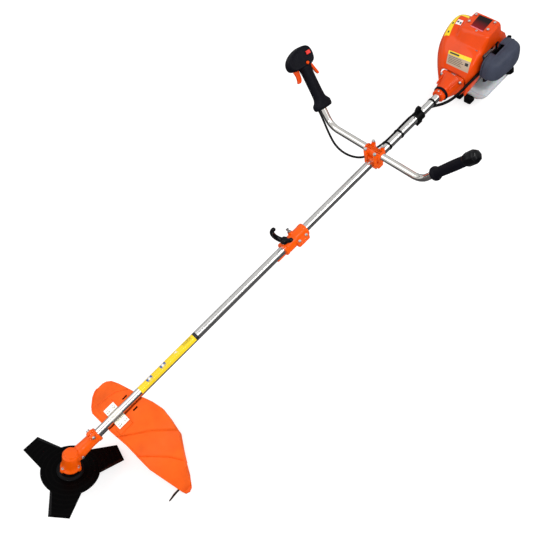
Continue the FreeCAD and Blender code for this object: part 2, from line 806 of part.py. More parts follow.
def plain_grip():
    points = [
        (65, "bar_radius"), (65, 20), (73, 20), (77, 15.5), (150, 16.5), (196, 15.5), (204, 19.5),
        (238, 20.5), (247, 15), (247, 0), (242, 0), (242, "bar_radius"),
    ]
    grip = turned("plain_grip", points)
    node("plain_grip", grip, RIGHT_ARM)


# the throttle grip's middle line stands a little behind the bar, and its head is a flat D seen from the side
GRIP_X = -6.0
HEAD_OUTLINE = [(-28, 204), (-41, 214), (-45, 246), (-36, 261), (-6, 264), (26, 255), (45, 240), (49, 224),
                (44, 211), (32, 205)]
TRIGGER_PIVOT = (30.0, 213.0)
LOCKOUT_PIVOT = (-27.0, 207.0)
SWITCH_AXLE = (-27.5, 16.0)
BUTTON_PLACE = (-11.0, 213.0)


def side_view(y):
    return lambda a, b: Vector(a, y, b)


def throttle_grip():
    """Two moulded halves that meet in the arm's xz plane, with pockets for the controls."""
    half_head = 19.0
    head = flat_plate(HEAD_OUTLINE, 7.0, 2 * half_head, side_view(-half_head), ALONG_Y)
    body = fused(
        feature("grip_head", head),
        rounded(block((64, 36, 18), (-36, -18, 64)), 15, upright),
        taper(24, 19, 18, (GRIP_X, 0, 81)),
        rod(19, 100, (GRIP_X, 0, 98)),
        taper(19, 22, 12, (GRIP_X, 0, 196)))
    hollows = fused(
        rod("bar_radius", 181, (0, 0, 61)),
        block((29, 10.6, 32), (15.5, -5.3, 191)),
        block((17, 9, 27), (-37, -4.5, 190)),
        block((20, 12, 16.4), (SWITCH_AXLE[0] - 10, 9, 231.8)),
        rod(5.3, 8, (BUTTON_PLACE[0], 13, BUTTON_PLACE[1]), ALONG_Y),
        rod("cable_radius", 16, (16, 0, 62)))
    whole = cut(body, hollows)
    for name, low in (("throttle_grip_left", 0.0), ("throttle_grip_right", -40.0)):
        half = common(whole, block((120, 40, 260), (-60, low, 40)))
        node(name, half, LEFT_ARM)


def controls():
    """Trigger, lockout, stop switch and start-lock button, in the left arm's frame."""
    lever = [(24, 216), (35.5, 216), (38, 206), (36.5, 188), (41.5, 171), (37, 167.5), (27, 168.5),
             (22, 177), (22, 200)]
    trigger = flat_plate(lever, 1.2, 9, side_view(-4.5), ALONG_Y)
    boss = Part.makeCylinder(6.0, 9, Vector(TRIGGER_PIVOT[0], -4.5, TRIGGER_PIVOT[1]), ALONG_Y)
    node("throttle_trigger", feature("throttle_trigger", trigger.fuse(boss).removeSplitter()), LEFT_ARM)
    lever = [(-23, 209), (-31, 209), (-32, 196), (-39, 168), (-31.5, 166), (-29, 182), (-27.5, 196)]
    lockout = flat_plate(lever, 1.0, 7, side_view(-3.5), ALONG_Y)
    boss = Part.makeCylinder(4.2, 7, Vector(LOCKOUT_PIVOT[0], -3.5, LOCKOUT_PIVOT[1]), ALONG_Y)
    node("trigger_lockout", feature("trigger_lockout", lockout.fuse(boss).removeSplitter()), LEFT_ARM)
    axle_x, axle_y = SWITCH_AXLE
    rocker = [(-8.5, -0.5), (-8.5, 6.5), (0, 4.5), (8.5, 6.5), (8.5, -0.5), (0, -3)]
    rocker = [(axle_x + x, axle_y + y) for x, y in rocker]
    switch = flat_plate(rocker, 0.8, 13, flat(233.5), ALONG_Z)
    axle = Part.makeCylinder(1.8, 15, Vector(axle_x, axle_y, 232.5), ALONG_Z)
    node("stop_switch", feature("stop_switch", switch.fuse(axle).removeSplitter()), LEFT_ARM)
    x, z = BUTTON_PLACE
    button = fused(rod("journal_radius", 6, (x, 16.5, z), ALONG_Y), rod(4.2, 1, (x, 22, z), ALONG_Y))
    node("start_lock_button", button, LEFT_ARM)


# ---------------------------------------------------------------- cable, ties, hanger, screws

def arm_point(frame, x, y, z):
    return frame.multVec(Vector(x, y, z))


def cable_points():
    route = [
        (1766, -65.3, 34), (1734, -65.5, 35), (1698, -64, 31), (1655, -57, 20), (1622, -50, 5),
        (1598, -38, -11), (1574, -20, -22), (1545, -1, -17), (1512, 13, -17), (1476, 24, -10),
        (1430, 20, -2), (1383, 17, 0), (1328, 17, 0.5),
        (1296, 29, -5), (1264, 33, -13), (1238, 53, -8), (1220, 86, 6), (1221, 126, 18), (1236, 164, 34),
    ]
    points = [Vector(*place) for place in route]
    points.append(arm_point(LEFT_ARM, 16, 0, 38))
    points.append(arm_point(LEFT_ARM, 16, 0, 63.5))
    return points


def throttle_cable():
    radius = size("cable_radius")
    solid, length, radii = swept(cable_points(), radius)
    section = math.pi * radius ** 2
    print("throttle cable length %.0f mm, volume over section times length %.4f"
          % (length, solid.Volume / (section * length)))
    print("throttle cable radii", " ".join("%.0f" % value for value in radii))
    node("throttle_cable", feature("throttle_cable", solid))


def cable_ties():
    ties = []
    for x, y, z in ((1325, 17, 0.4), (1383, 17, 0), (1543, -1, -17)):
        reach = math.hypot(y, z)
        beside = Vector(0, y, z) / reach
        frame = Placement(Vector(x, 0, 0), Rotation(ALONG_X, beside, Vector(1, 0, 0).cross(beside), "XYZ"))
        outer = fused(rod(14.6, 6, (0, 0, 0), ALONG_X, frame),
                      rod(5.2, 6, (0, reach, 0), ALONG_X, frame),
                      block((6, reach, 9), (0, 0, -4.5), frame))
        ties.append(cut(outer, rod("tube_radius", 8, (-1, 0, 0), ALONG_X, frame),
                        rod("cable_radius + 0.1", 8, (-1, reach, 0), ALONG_X, frame)))
    node("cable_ties", group(*ties))


def harness_hanger():
    solids = fused(
        rod("tube_radius + 5", 28, ("hanger_x - 14", 0, 0), ALONG_X),
        block((24, 8, 18), ("hanger_x - 12", -4, 14)),
        rod(12, 8, ("hanger_x", -4, 30), ALONG_Y),
        block((24, 15, 18), ("hanger_x - 12", -7.5, -32)))
    hollows = fused(
        rod("tube_radius", 40, ("hanger_x - 20", 0, 0), ALONG_X),
        rod(6, 20, ("hanger_x", -10, 30), ALONG_Y),
        rod(2.55, 30, ("hanger_x", -15, -25), ALONG_Y),
        block((40, 2, 28), ("hanger_x - 20", -1, -38)))
    node("harness_hanger", cut(solids, hollows))


def socket_screws():
    screws = [screw(2.5, 17, (x, -26, 10)) for x in (892, 920)]
    for dx in (-1, 1):
        for dy in (-1, 1):
            x = size("bar_x") + dx * size("clamp_bolt_x")
            screws.append(screw(3.0, 68, (x, dy * size("clamp_bolt_y"), size("bar_height") + 17.5)))
    screws.append(screw(2.5, 14, ("hanger_x", 7.5, -25), ALONG_Y))
    for y, z in FLANGE_SCREWS:
        screws.append(screw(3.0, 14, ("cone_flange", y, z), Vector(-1, 0, 0)))
    for x, y in SHROUD_SCREWS:
        screws.append(screw(2.5, 8, (x, y, 138), ALONG_Z))
    node("socket_screws", group(*screws))


# ---------------------------------------------------------------- clutch

def clutch_housing():
    tip = "cone_tip"
    cone = turned("clutch_cone", [
        (tip, "tube_radius"), (1612, "tube_radius"), (1612, 8), (1616, 8), (1616, 15), (1628, 15), (1628, 28),
        (1637, 35.4), ("cone_end", 35.4), ("cone_end", 42), ("cone_flange", "cone_base_radius"),
        ("cone_start", 24.5), ("cone_start", 19), ("cone_ring", 19), ("cone_ring", "cone_tip_radius"),
        (tip, "cone_tip_radius")], "x")
    flange = rounded(block((12, 84, 66), ("cone_flange", -42, -33)), 10, lengthwise)
    opening = rod(35.4, 40, (1640, 0, 0), ALONG_X)
    holes = [rod(3.0, 30, (1640, y, z), ALONG_X) for y, z in FLANGE_SCREWS]
    holes += [rod(5.3, 10, (1636, y, z), ALONG_X) for y, z in FLANGE_SCREWS]
    collar_slot = block((14, 30, 1.6), (1574, -30, -0.8))
    node("clutch_housing", cut(fused(cone, flange), opening, collar_slot, *holes))
    node("isolator_ring", ring(25.5, 19, "cone_start - cone_ring", ("cone_ring", 0, 0), ALONG_X))


def clutch():
    drum = turned("clutch_drum", [
        (1629.5, "journal_radius"), (1629.5, 9), ("drum_start", 9), ("drum_start", "drum_radius"),
        ("drum_end", "drum_radius"), ("drum_end", "drum_radius - 2.5"), ("drum_start + 3", "drum_radius - 2.5"),
        ("drum_start + 3", 5.6), ("drum_start", 5.6), ("drum_start", "journal_radius")], "x")
    node("clutch_drum", drum)
    disc = ring("drum_radius - 3.5", 7, 15, (1646, 0, 0), ALONG_X)
    gap = block((20, 80, 5), (1644, -40, -2.5))
    node("clutch_shoes", cut(disc, gap))


# ---------------------------------------------------------------- engine

def crank_train():
    """Crankshaft, connecting rod and piston, three solids at top dead centre."""
    pin_height = 14.0
    piston_pin = 70.0
    shaft = fused(
        rod(7, 94.5, (1644, 0, 0), ALONG_X), rod(7, 46, (1766, 0, 0), ALONG_X),
        rod(26, 8, (1738, 0, 0), ALONG_X), rod(26, 8, (1758, 0, 0), ALONG_X),
        rod(6, 12, (1746, 0, pin_height), ALONG_X))
    big_end = rod(10, 9, (1747.5, 0, pin_height), ALONG_X)
    small_end = rod(7, 9, (1747.5, 0, piston_pin), ALONG_X)
    beam = block((7, 8, piston_pin - pin_height), (1748.5, -4, pin_height))
    bearing_holes = fused(rod(6.05, 12, (1746, 0, pin_height), ALONG_X),
                          rod(4.05, 12, (1746, 0, piston_pin), ALONG_X))
    connecting_rod = cut(fused(big_end, small_end, beam), bearing_holes)
    crown = rod("bore_radius - 0.1", 24, ("cylinder_x", 0, 62))
    skirt_hollow = block((12, 26, 17), (1746, -13, 61))
    piston = fused(cut(crown, skirt_hollow), rod(4, 30, (1737, 0, piston_pin), ALONG_X))
    node("crank_train", group(shaft, connecting_rod, piston))


def crankcase():
    solids = fused(
        rounded(block((100, 76, 86), ("case_front", -38, -52)), 8, upright),
        rod(46, 12, ("case_front", 0, 0), ALONG_X))
    hollows = fused(
        rod(29, 36, (1734, 0, 0), ALONG_X), rod(7.05, 140, (1680, 0, 0), ALONG_X),
        rod("bore_radius", 60, ("cylinder_x", 0, 10)))
    node("crankcase", cut(solids, hollows))


def cylinder():
    """Finned barrel whose bore holds the piston."""
    fins = [block((66, 76, 2.5), (1722, -38, 44 + 8.5 * i)) for i in range(7)]
    barrel = fused(rod(29, 58, ("cylinder_x", 0, 34)), rod(20, 12, ("cylinder_x", 0, 92)))
    ports = fused(block((36, 20, 26), (1734, -42, 44)), block((36, 16, 28), (1734, 28, 42)))
    solids = fused(barrel, ports, *fins)
    hollows = fused(rod("bore_radius", 58, ("cylinder_x", 0, 30)), rod(8, 40, ("cylinder_x", -50, 57), ALONG_Y),
                    rod(9, 40, ("cylinder_x", 20, 56), ALONG_Y))
    node("cylinder", cut(solids, hollows))
    plug = fused(rod(6, 6, ("cylinder_x", 0, 104)), rod(7.5, 6, ("cylinder_x", 0, 109)))
    node("spark_plug", plug)


def flywheel_fan():
    """Cast flywheel with a ring of fan vanes on its front."""
    disc = fused(rod("fan_radius", 4, ("fan_end - 4", 0, 0), ALONG_X), rod(15, 18, ("fan_start", 0, 0), ALONG_X))
    vanes = []
    for i in range(14):
        turn = Placement(Vector(), Rotation(ALONG_X, 360.0 / 14 * i))
        vanes.append(block((11, 2.2, 14), (1676, -1.1, 28), turn))
    node("flywheel_fan", cut(fused(disc, *vanes), rod(7, 40, (1660, 0, 0), ALONG_X)))


def lofted(sections):
    """A closed ruled solid through polygons that share their number of corners."""
    wires = [Part.makePolygon(points + points[:1]) for points in sections]
    return Part.makeLoft(wires, True, True)


SHROUD_SECTIONS = [
    (1658, [(-46, -44), (-50, 0), (-46, 24), (-30, 36), (32, 36), (48, 24), (54, 0), (50, -44)]),
    (1700, [(-56, -14), (-58, 20), (-53, 62), (-38, 86), (46, 87), (70, 77), (84, 40), (84, 6)]),
    (1745, [(-58, 16), (-60, 36), (-56, 84), (-42, 118), (50, 121), (84, 100), (104, 66), (104, 20)]),
    (1772, [(-58, 20), (-60, 44), (-53, 104), (-42, 138), (46, 138), (88, 106), (105, 68), (105, 20)]),
    (1866, [(-52, 20), (-57, 44), (-49, 104), (-38, 138), (42, 138), (80, 104), (96, 64), (96, 20)]),
]


def engine_shroud():
    """One moulded cover over fan, cylinder and silencer, open below and behind."""
    wall = size("shroud_wall")
    outer = []
    inner = []
    for x, corners in SHROUD_SECTIONS:
        outer.append([Vector(x, y, z) for y, z in corners])
        inside = []
        for i, (y, z) in enumerate(corners):
            side = 1 if y < 0 else -1
            drop = 30 if i in (0, len(corners) - 1) else wall
            inside.append(Vector(x, y + side * wall, z - drop))
        inner.append(inside)
    front = [Vector(p.x + wall + 2, p.y, p.z) for p in inner[0]]
    inner = [front] + inner[1:-1] + [[Vector(p.x + 20, p.y, p.z) for p in inner[-1]]]
    shell = lofted(outer).cut(lofted(inner))
    nose = Part.makeCylinder(40, 20, Vector(1650, 0, 0), ALONG_X)
    carburettor_window = Part.makeBox(56, 20, 66, Vector(1728, -70, 14))
    tools = [nose, carburettor_window]
    for y, z in FLANGE_SCREWS:
        tools.append(Part.makeCylinder(3.0, 20, Vector(1650, y, z), ALONG_X))
    for x, y in SHROUD_SCREWS:
        tools.append(Part.makeCylinder(2.6, 20, Vector(x, y, 125)))
    node("engine_shroud", feature("engine_shroud", shell.cut(tools)))


def muffler():
    box = rounded(block((78, 45, 66), (1724, 45, -8)), 8, upright)
    tail = rod(7, 18, (1738, 74, 10), Vector(-1, 0, 0))
    flange = block((34, 2, 34), (1735, 44, 40))
    node("muffler", cut(fused(box, tail, flange), rod(5, 30, (1745, 74, 10), Vector(-1, 0, 0))))


def carburettor():
    body = fused(
        block((40, 17, 34), (1734, -60, 40)), rod(10, 15, (1754, -51.5, 28)), block((34, 10, 12), (1737, -57, 22)),
        block((11, 18, 9), (1766, -69.5, 29.5)), block((8, 10, 20), (1764.5, -60, 22)),
        rod(8, 5, (1754, -60, 57), Vector(0, -1, 0)), block((20, 4, 10), (1770, -62.8, 65)),
        block((26, 20, 7), (1731, -64, -8)), block((8, 6, 30), (1740, -54, -4)))
    bore = rod(6, 40, (1754, -70, 57), ALONG_Y)
    bulb_seat = rod(8, 6, (1744, -54, -9))
    node("carburettor", cut(body, bore, bulb_seat))
    node("choke_lever", fused(rod(5, 3, (1786, -66, 70), ALONG_Y), block((6, 3, 24), (1783, -66, 70)),
                              block((14, 5, 4), (1779, -68, 91))))
    dome = fused(rod(7.6, 5, (1744, -54, -12)), taper(7.6, 4.6, 6, (1744, -54, -12), Vector(0, 0, -1)))
    node("primer_bulb", dome)


COVER_OUTLINE = [(1714, -18), (1728, -28), (1790, -26), (1812, -8), (1846, 4), (1858, 18), (1858, 78), (1844, 90),
                 (1726, 90), (1714, 78)]


def filter_case():
    """Base plate on the carburettor and the large cover clipped over it."""
    def scaled(share, y):
        middle_x, middle_z = 1790.0, 34.0
        return [Vector(middle_x + (x - middle_x) * share, y, middle_z + (z - middle_z) * share)
                for x, z in COVER_OUTLINE]

    outer = lofted([scaled(1.0, -70), scaled(1.0, -96), scaled(0.92, -116), scaled(0.74, -129)])
    inner = lofted([scaled(0.96, -69), scaled(0.96, -95), scaled(0.88, -113), scaled(0.70, -126)])
    notch = Part.makeBox(32, 24, 30, Vector(1772, -90, 74))
    node("air_filter_cover", feature("air_filter_cover", outer.cut([inner, notch])))
    base = lofted([scaled(0.94, -70), scaled(0.94, -74)])
    base = base.cut([Part.makeCylinder(8, 30, Vector(1754, -60, 57), Vector(0, -1, 0)),
                     Part.makeBox(30, 24, 30, Vector(1773, -90, 76))])
    bridge = Part.makeCylinder(12, 8, Vector(1754, -65.3, 57), Vector(0, -1, 0))
    bridge = bridge.cut(Part.makeCylinder(8, 8, Vector(1754, -65.3, 57), Vector(0, -1, 0)))
    node("air_filter_base", feature("air_filter_base", base.fuse(bridge)))


def starter():
    """Recoil starter: a dished housing, the rope's pulley, the rope and its handle."""
    start, end = "starter_start", "starter_end"
    housing = turned("starter_dish", [
        (start, 46), (start, 50), (1856, 50), (end, 40), (end, 0), (1818, 0), (1818, 7.9), (1850, 7.9),
        (1850, 34), (1846, 46)], "x")
    hole = rod(3, 30, (1830, 30, -25), ALONG_Y)
    vents = [rod(4, 20, (1850, 24 * math.cos(a), 24 * math.sin(a)), ALONG_X)
             for a in (math.radians(45 * k) for k in range(8))]
    legs = [rod(5, 12, (1800, 42 * math.cos(a), 42 * math.sin(a)), ALONG_X)
            for a in (math.radians(k) for k in (35, 145, 215, 325))]
    node("starter_housing", fused(cut(housing, hole, *vents), *legs))
    pulley = turned("starter_pulley", [
        (1820, 8), (1820, "pulley_radius"), (1824, "pulley_radius"), (1827, "pulley_radius - 6"),
        (1833, "pulley_radius - 6"), (1836, "pulley_radius"), (1840, "pulley_radius"), (1840, 8)], "x")
    node("starter_pulley", pulley)
    node("starter_rope", rod(1.8, 18.5, (1830, 31, -25), ALONG_Y))
    grip = rounded(block((36, 15, 16), (1812, 52, -33)), 5, lengthwise)
    node("starter_handle", fused(grip, taper(4.5, 7, 3, (1830, 49.5, -25), ALONG_Y)))


def fuel_tank():
    """Blow-moulded tank: wide under the engine, narrower where it stands, with a neck for the cap."""
    def layer(z, x0, x1, y0, y1, corner):
        return [Vector(x0 + corner, y0, z), Vector(x1 - corner, y0, z), Vector(x1, y0 + corner, z),
                Vector(x1, y1 - corner, z), Vector(x1 - corner, y1, z), Vector(x0 + corner, y1, z),
                Vector(x0, y1 - corner, z), Vector(x0, y0 + corner, z)]

    ground = size("tank_base")
    layers = [(-52, 1716, 1862, -80, 74), (-62, 1712, 1864, -90, 80), (-88, 1713, 1863, -84, 76),
              (-114, 1722, 1858, -66, 62), (ground, 1736, 1848, -48, 46)]
    outer = lofted([layer(z, x0, x1, y0, y1, 16) for z, x0, x1, y0, y1 in layers])
    wall = 2.2
    inside = [layer(z, x0 + wall, x1 - wall, y0 + wall, y1 - wall, 15) for z, x0, x1, y0, y1 in layers[1:-1]]
    inside = [[Vector(p.x, p.y, p.z + 4) for p in inside[0]]] + inside[1:]
    inner = lofted(inside)
    neck_foot = Vector(size("cap_x") - 7, -62, -71)
    out = Vector(0, -0.8, 0.6)
    neck = Part.makeCylinder(13, 34, neck_foot, out)
    neck_bore = Part.makeCylinder(10, 60, neck_foot - out * 10, out)
    foot = Part.makeBox(16, 56, 30, Vector(1700, -40, ground))
    foot = foot.fuse(Part.makeBox(30, 56, 10, Vector(1700, -40, -110)))
    tank = outer.fuse([neck, foot]).cut([inner, neck_bore])
    node("fuel_tank", feature("fuel_tank", tank.removeSplitter()))
    cap_start = neck_foot + out * 28
    cap = Part.makeCylinder(17, 15, cap_start, out).cut(Part.makeCylinder(13.3, 7.5, cap_start, out))
    grip = Part.makeBox(8, 30, 5, Vector(-4, -15, 15))
    grip.Placement = Placement(cap_start, Rotation(ALONG_Z, out)).multiply(grip.Placement)
    node("fuel_cap", feature("fuel_cap", cap.fuse(grip)))


# ---------------------------------------------------------------- whole tool

def build():
    for make in (gear_pair, gear_case, head_bearings, head_bolts, output_spindle, cutting_blade, cutter_clamping,
                 guard_shell, guard_clamp, line_knife, tubes, drive_shafts, shaft_bushes, coupler, coupler_knob,
                 lock_pin, handlebar, handle_clamp, plain_grip, throttle_grip, controls, throttle_cable,
                 cable_ties, harness_hanger, socket_screws, clutch_housing, clutch, crank_train, crankcase,
                 cylinder, flywheel_fan, engine_shroud, muffler, carburettor, filter_case, starter, fuel_tank):
        make()
    doc.recompute()


def check():
    for obj in doc.Objects:
        if "Invalid" in obj.State or "Error" in obj.State:
            raise RuntimeError("%s failed to recompute" % obj.Name)
    for label, obj in nodes.items():
        shape = obj.Shape
        if shape.isNull() or not shape.isValid() or not shape.Solids:
            raise RuntimeError("%s has no valid solid" % label)


def write():
    os.makedirs("parts", exist_ok=True)
    for label, obj in nodes.items():
        obj.Shape.exportStep("parts/%s.step" % label)
    print(len(nodes), "nodes")


build()
check()
write()
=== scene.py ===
"""Looks of the brush cutter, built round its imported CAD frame.

Lengths in the pieces are millimetres in the shaft's frame: the origin is where the shaft's axis meets
the blade spindle's axis, +X runs along the shaft to the engine, +Y is the operator's right, +Z is up.
"""
import bpy
import bmesh
import json
import math
from mathutils import Matrix, Vector
from mathutils.bvhtree import BVHTree


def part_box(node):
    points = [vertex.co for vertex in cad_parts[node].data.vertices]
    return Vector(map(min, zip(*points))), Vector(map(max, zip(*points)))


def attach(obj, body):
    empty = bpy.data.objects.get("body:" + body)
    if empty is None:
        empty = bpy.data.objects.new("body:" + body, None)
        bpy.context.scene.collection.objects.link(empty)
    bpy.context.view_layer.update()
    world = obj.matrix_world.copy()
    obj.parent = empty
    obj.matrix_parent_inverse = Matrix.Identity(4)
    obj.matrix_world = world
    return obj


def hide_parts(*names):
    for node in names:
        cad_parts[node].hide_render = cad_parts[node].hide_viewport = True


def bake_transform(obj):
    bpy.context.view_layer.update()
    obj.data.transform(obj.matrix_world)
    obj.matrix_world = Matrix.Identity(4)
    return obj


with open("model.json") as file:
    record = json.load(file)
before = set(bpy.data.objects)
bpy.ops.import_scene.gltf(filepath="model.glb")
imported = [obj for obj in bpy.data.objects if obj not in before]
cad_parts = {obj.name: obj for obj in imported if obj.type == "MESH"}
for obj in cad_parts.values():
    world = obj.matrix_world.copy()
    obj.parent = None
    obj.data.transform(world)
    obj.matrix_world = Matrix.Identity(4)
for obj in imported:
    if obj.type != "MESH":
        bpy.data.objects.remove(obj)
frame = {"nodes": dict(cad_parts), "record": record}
NODES = frame["nodes"]
RECORD = frame["record"]
BODY_OF = {name: body for body, names in RECORD["behaviour"]["bodies"].items() for name in names}
SLOT_OF = {row["node"]: row["material_slot"] for row in RECORD["subparts"]}
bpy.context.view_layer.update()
MM = 0.001

# ---------------- frames, in the CAD's millimetres

TUBE_START = 47.0
HEAD_ANGLE = 30.0
BAR_BEND = (1264.7, 180.0, 34.0)
BAR_END = (1308.7, 332.0, 216.0)

tube_low, tube_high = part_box("lower_tube")
SHAFT_ORIGIN = (tube_low + tube_high) / 2
SHAFT_ORIGIN.x = tube_low.x - TUBE_START * MM
SHAFT = Matrix.Translation(SHAFT_ORIGIN) @ Matrix.Scale(MM, 4)
HEAD = SHAFT @ Matrix.Rotation(math.radians(HEAD_ANGLE), 4, "Y")
SIDES = ((-1, "right"), (1, "left"))  # as seen from the blade, looking along the shaft


def local_frame(origin, x_axis, y_axis, z_axis, parent=SHAFT):
    turn = Matrix((x_axis, y_axis, z_axis)).transposed().to_4x4()
    return parent @ Matrix.Translation(Vector(origin)) @ turn


def upright(x, y=0.0):
    """A frame on the shaft's axis, or beside it, with z up."""
    return SHAFT @ Matrix.Translation((x, y, 0))


def arm_frame(side):
    """z runs out along one arm of the bar from its bend, and x points towards the blade."""
    bend = Vector((BAR_BEND[0], side * BAR_BEND[1], BAR_BEND[2]))
    end = Vector((BAR_END[0], side * BAR_END[1], BAR_END[2]))
    out = (end - bend).normalized()
    front = Vector((-1, 0, 0))
    front = (front - out * front.dot(out)).normalized()
    return local_frame(bend, front, out.cross(front), out)


THROTTLE_ARM = arm_frame(1)
PLAIN_ARM = arm_frame(-1)
ALONG_TUBE = local_frame((0, 0, 0), (0, 1, 0), (0, 0, 1), (1, 0, 0))


def grip_face(x, y, z):
    """A frame on the side of the throttle grip, with z out of it."""
    return local_frame((x, y, z), (1, 0, 0), (0, 0, -1), (0, 1, 0), THROTTLE_ARM)


def axis_frame(origin, direction):
    """A frame whose z runs along a direction."""
    z_axis = Vector(direction).normalized()
    x_axis = Vector((0, 0, 1)).cross(z_axis)
    if x_axis.length < 0.01:
        x_axis = Vector((1, 0, 0)).cross(z_axis)
    x_axis.normalize()
    return local_frame(origin, x_axis, z_axis.cross(x_axis), z_axis)


# ---------------- curves

def passed_through(keys, steps):
    """Rows of numbers on smooth curves through the given rows."""
    rows = []
    last = len(keys) - 1
    for i in range(last):
        before, start, end, after = keys[max(i - 1, 0)], keys[i], keys[i + 1], keys[min(i + 2, last)]
        for k in range(steps):
            t = k / steps
            rows.append([0.5 * (2 * q + (r - p) * t + (2 * p - 5 * q + 4 * r - s) * t * t
                                + (3 * q - p - 3 * r + s) * t ** 3)
                         for p, q, r, s in zip(before, start, end, after)])
    rows.append(list(keys[-1]))
    return rows


def softened(points, steps):
    """A uniform cubic B-spline round a closed outline, which rounds its corners."""
    line = points[-1:] + points + points[:2]
    found = []
    for i in range(len(points)):
        for k in range(steps):
            t = k / steps
            weights = ((1 - t) ** 3 / 6, (3 * t ** 3 - 6 * t * t + 4) / 6,
                       (-3 * t ** 3 + 3 * t * t + 3 * t + 1) / 6, t ** 3 / 6)
            found.append(tuple(sum(w * p[axis] for w, p in zip(weights, line[i:i + 4])) for axis in (0, 1)))
    return found


def smoothstep(low, high, value):
    """0 below low, 1 above high, and smooth between them."""
    t = min(1.0, max(0.0, (value - low) / (high - low)))
    return t * t * (3 - 2 * t)


def oval(front, back, half, power, count):
    """A superellipse in xy that reaches further one way along x than the other."""
    points = []
    for i in range(count):
        angle = 2 * math.pi * i / count
        c, s = math.cos(angle), math.sin(angle)
        reach = front if c > 0 else back
        points.append((math.copysign(abs(c) ** (2 / power), c) * reach,
                       math.copysign(abs(s) ** (2 / power), s) * half))
    return points


def rectangle(x0, x1, y0, y1, radius, steps=6):
    """A rounded rectangle."""
    points = []
    for cx, cy, start in ((x1 - radius, y1 - radius, 0), (x0 + radius, y1 - radius, 90),
                          (x0 + radius, y0 + radius, 180), (x1 - radius, y0 + radius, 270)):
        for k in range(steps + 1):
            angle = math.radians(start + 90 * k / steps)
            points.append((cx + radius * math.cos(angle), cy + radius * math.sin(angle)))
    return points


def circle(radius, count):
    """Points round a circle, whose radius may be a function of the angle."""
    points = []
    for i in range(count):
        angle = 2 * math.pi * i / count
        reach = radius(angle) if callable(radius) else radius
        points.append((reach * math.cos(angle), reach * math.sin(angle)))
    return points


def faceted(radius, sides, count, softness):
    """A circle drawn part of the way to a polygon that stands inside it."""
    step = 2 * math.pi / sides

    def reach(angle):
        from_flat = (angle + step / 2) % step - step / 2
        flat = math.cos(step / 2) / math.cos(from_flat)
        return radius * (1 + (flat - 1) * softness * 2)
    return circle(reach, count)


def scaled(outline, middle, share):
    """An outline drawn in or out about a middle."""
    return [(middle[0] + (x - middle[0]) * share, middle[1] + (z - middle[1]) * share) for x, z in outline]


def in_window(x, y, window):
    (x0, x1), (y0, y1) = window
    return x0 < x < x1 and y0 < y < y1


# ---------------- meshes

def linked(name, data):
    obj = bpy.data.objects.new(name, data)
    bpy.context.scene.collection.objects.link(obj)
    return obj


def bands(rows, count, closed=True):
    """Quads between rows of corners."""
    faces = []
    for row in range(rows - 1):
        for i in range(count if closed else count - 1):
            a, b = row * count + i, row * count + (i + 1) % count
            faces.append((a, b, b + count, a + count))
    return faces


def build(name, corners, faces, place, material, node, instead=True, sharp=38, keep=None):
    """A piece from corners in its own frame that rides with a CAD node.

    It hides the node where it is instead of it. Faces whose middle fails keep are left out, as at a window.
    """
    if keep:
        faces = [face for face in faces
                 if keep(*[sum(corners[i][axis] for i in face) / len(face) for axis in range(3)])]
    mesh = bpy.data.meshes.new(name)
    mesh.from_pydata([place @ Vector(corner) for corner in corners], [], faces)
    work = bmesh.new()
    work.from_mesh(mesh)
    bmesh.ops.remove_doubles(work, verts=work.verts, dist=1e-6)
    bmesh.ops.dissolve_degenerate(work, edges=work.edges, dist=1e-7)
    bmesh.ops.recalc_face_normals(work, faces=work.faces)
    work.to_mesh(mesh)
    work.free()
    mesh.shade_smooth()
    mesh.set_sharp_from_angle(angle=math.radians(sharp))
    mesh.materials.append(material)
    obj = linked(name, mesh)
    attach(obj, BODY_OF[node])
    if instead:
        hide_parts(node)
    return obj


def lofted(name, loops, place, material, node, closed=True, caps=True, **rest):
    """Quads between loops of equal count; the end loops are closed with fans when caps is set."""
    count = len(loops[0])
    corners = [point for loop in loops for point in loop]
    faces = bands(len(loops), count, closed)
    if caps:
        for loop, start in ((loops[0], 0), (loops[-1], len(corners) - count)):
            middle = tuple(sum(point[axis] for point in loop) / count for axis in range(3))
            corners.append(middle)
            faces.extend((start + i, start + (i + 1) % count, len(corners) - 1) for i in range(count))
    return build(name, corners, faces, place, material, node, **rest)


def turned(name, profile, place, material, node, count=72, **rest):
    """A closed profile of (along, radius) turned about the frame's z."""
    loops = [[(x, y, along) for x, y in circle(radius, count)] for along, radius in profile + profile[:1]]
    return lofted(name, loops, place, material, node, caps=False, **rest)


def plate(name, outline, low, high, place, material, node, **rest):
    """A flat outline in xy raised between two heights."""
    loops = [[(x, y, z) for x, y in outline] for z in (low, high)]
    return lofted(name, loops, place, material, node, **rest)


def bevel(obj, width, segments=3, angle=32):
    modifier = obj.modifiers.new("edges", "BEVEL")
    modifier.width = width * MM
    modifier.segments = segments
    modifier.limit_method = "ANGLE"
    modifier.angle_limit = math.radians(angle)
    return obj


def thickened(obj, thickness, even=True):
    """A wall inside the surface."""
    modifier = obj.modifiers.new("wall", "SOLIDIFY")
    modifier.thickness = thickness * MM
    modifier.offset = -1.0
    modifier.use_even_offset = even


# ---------------- materials

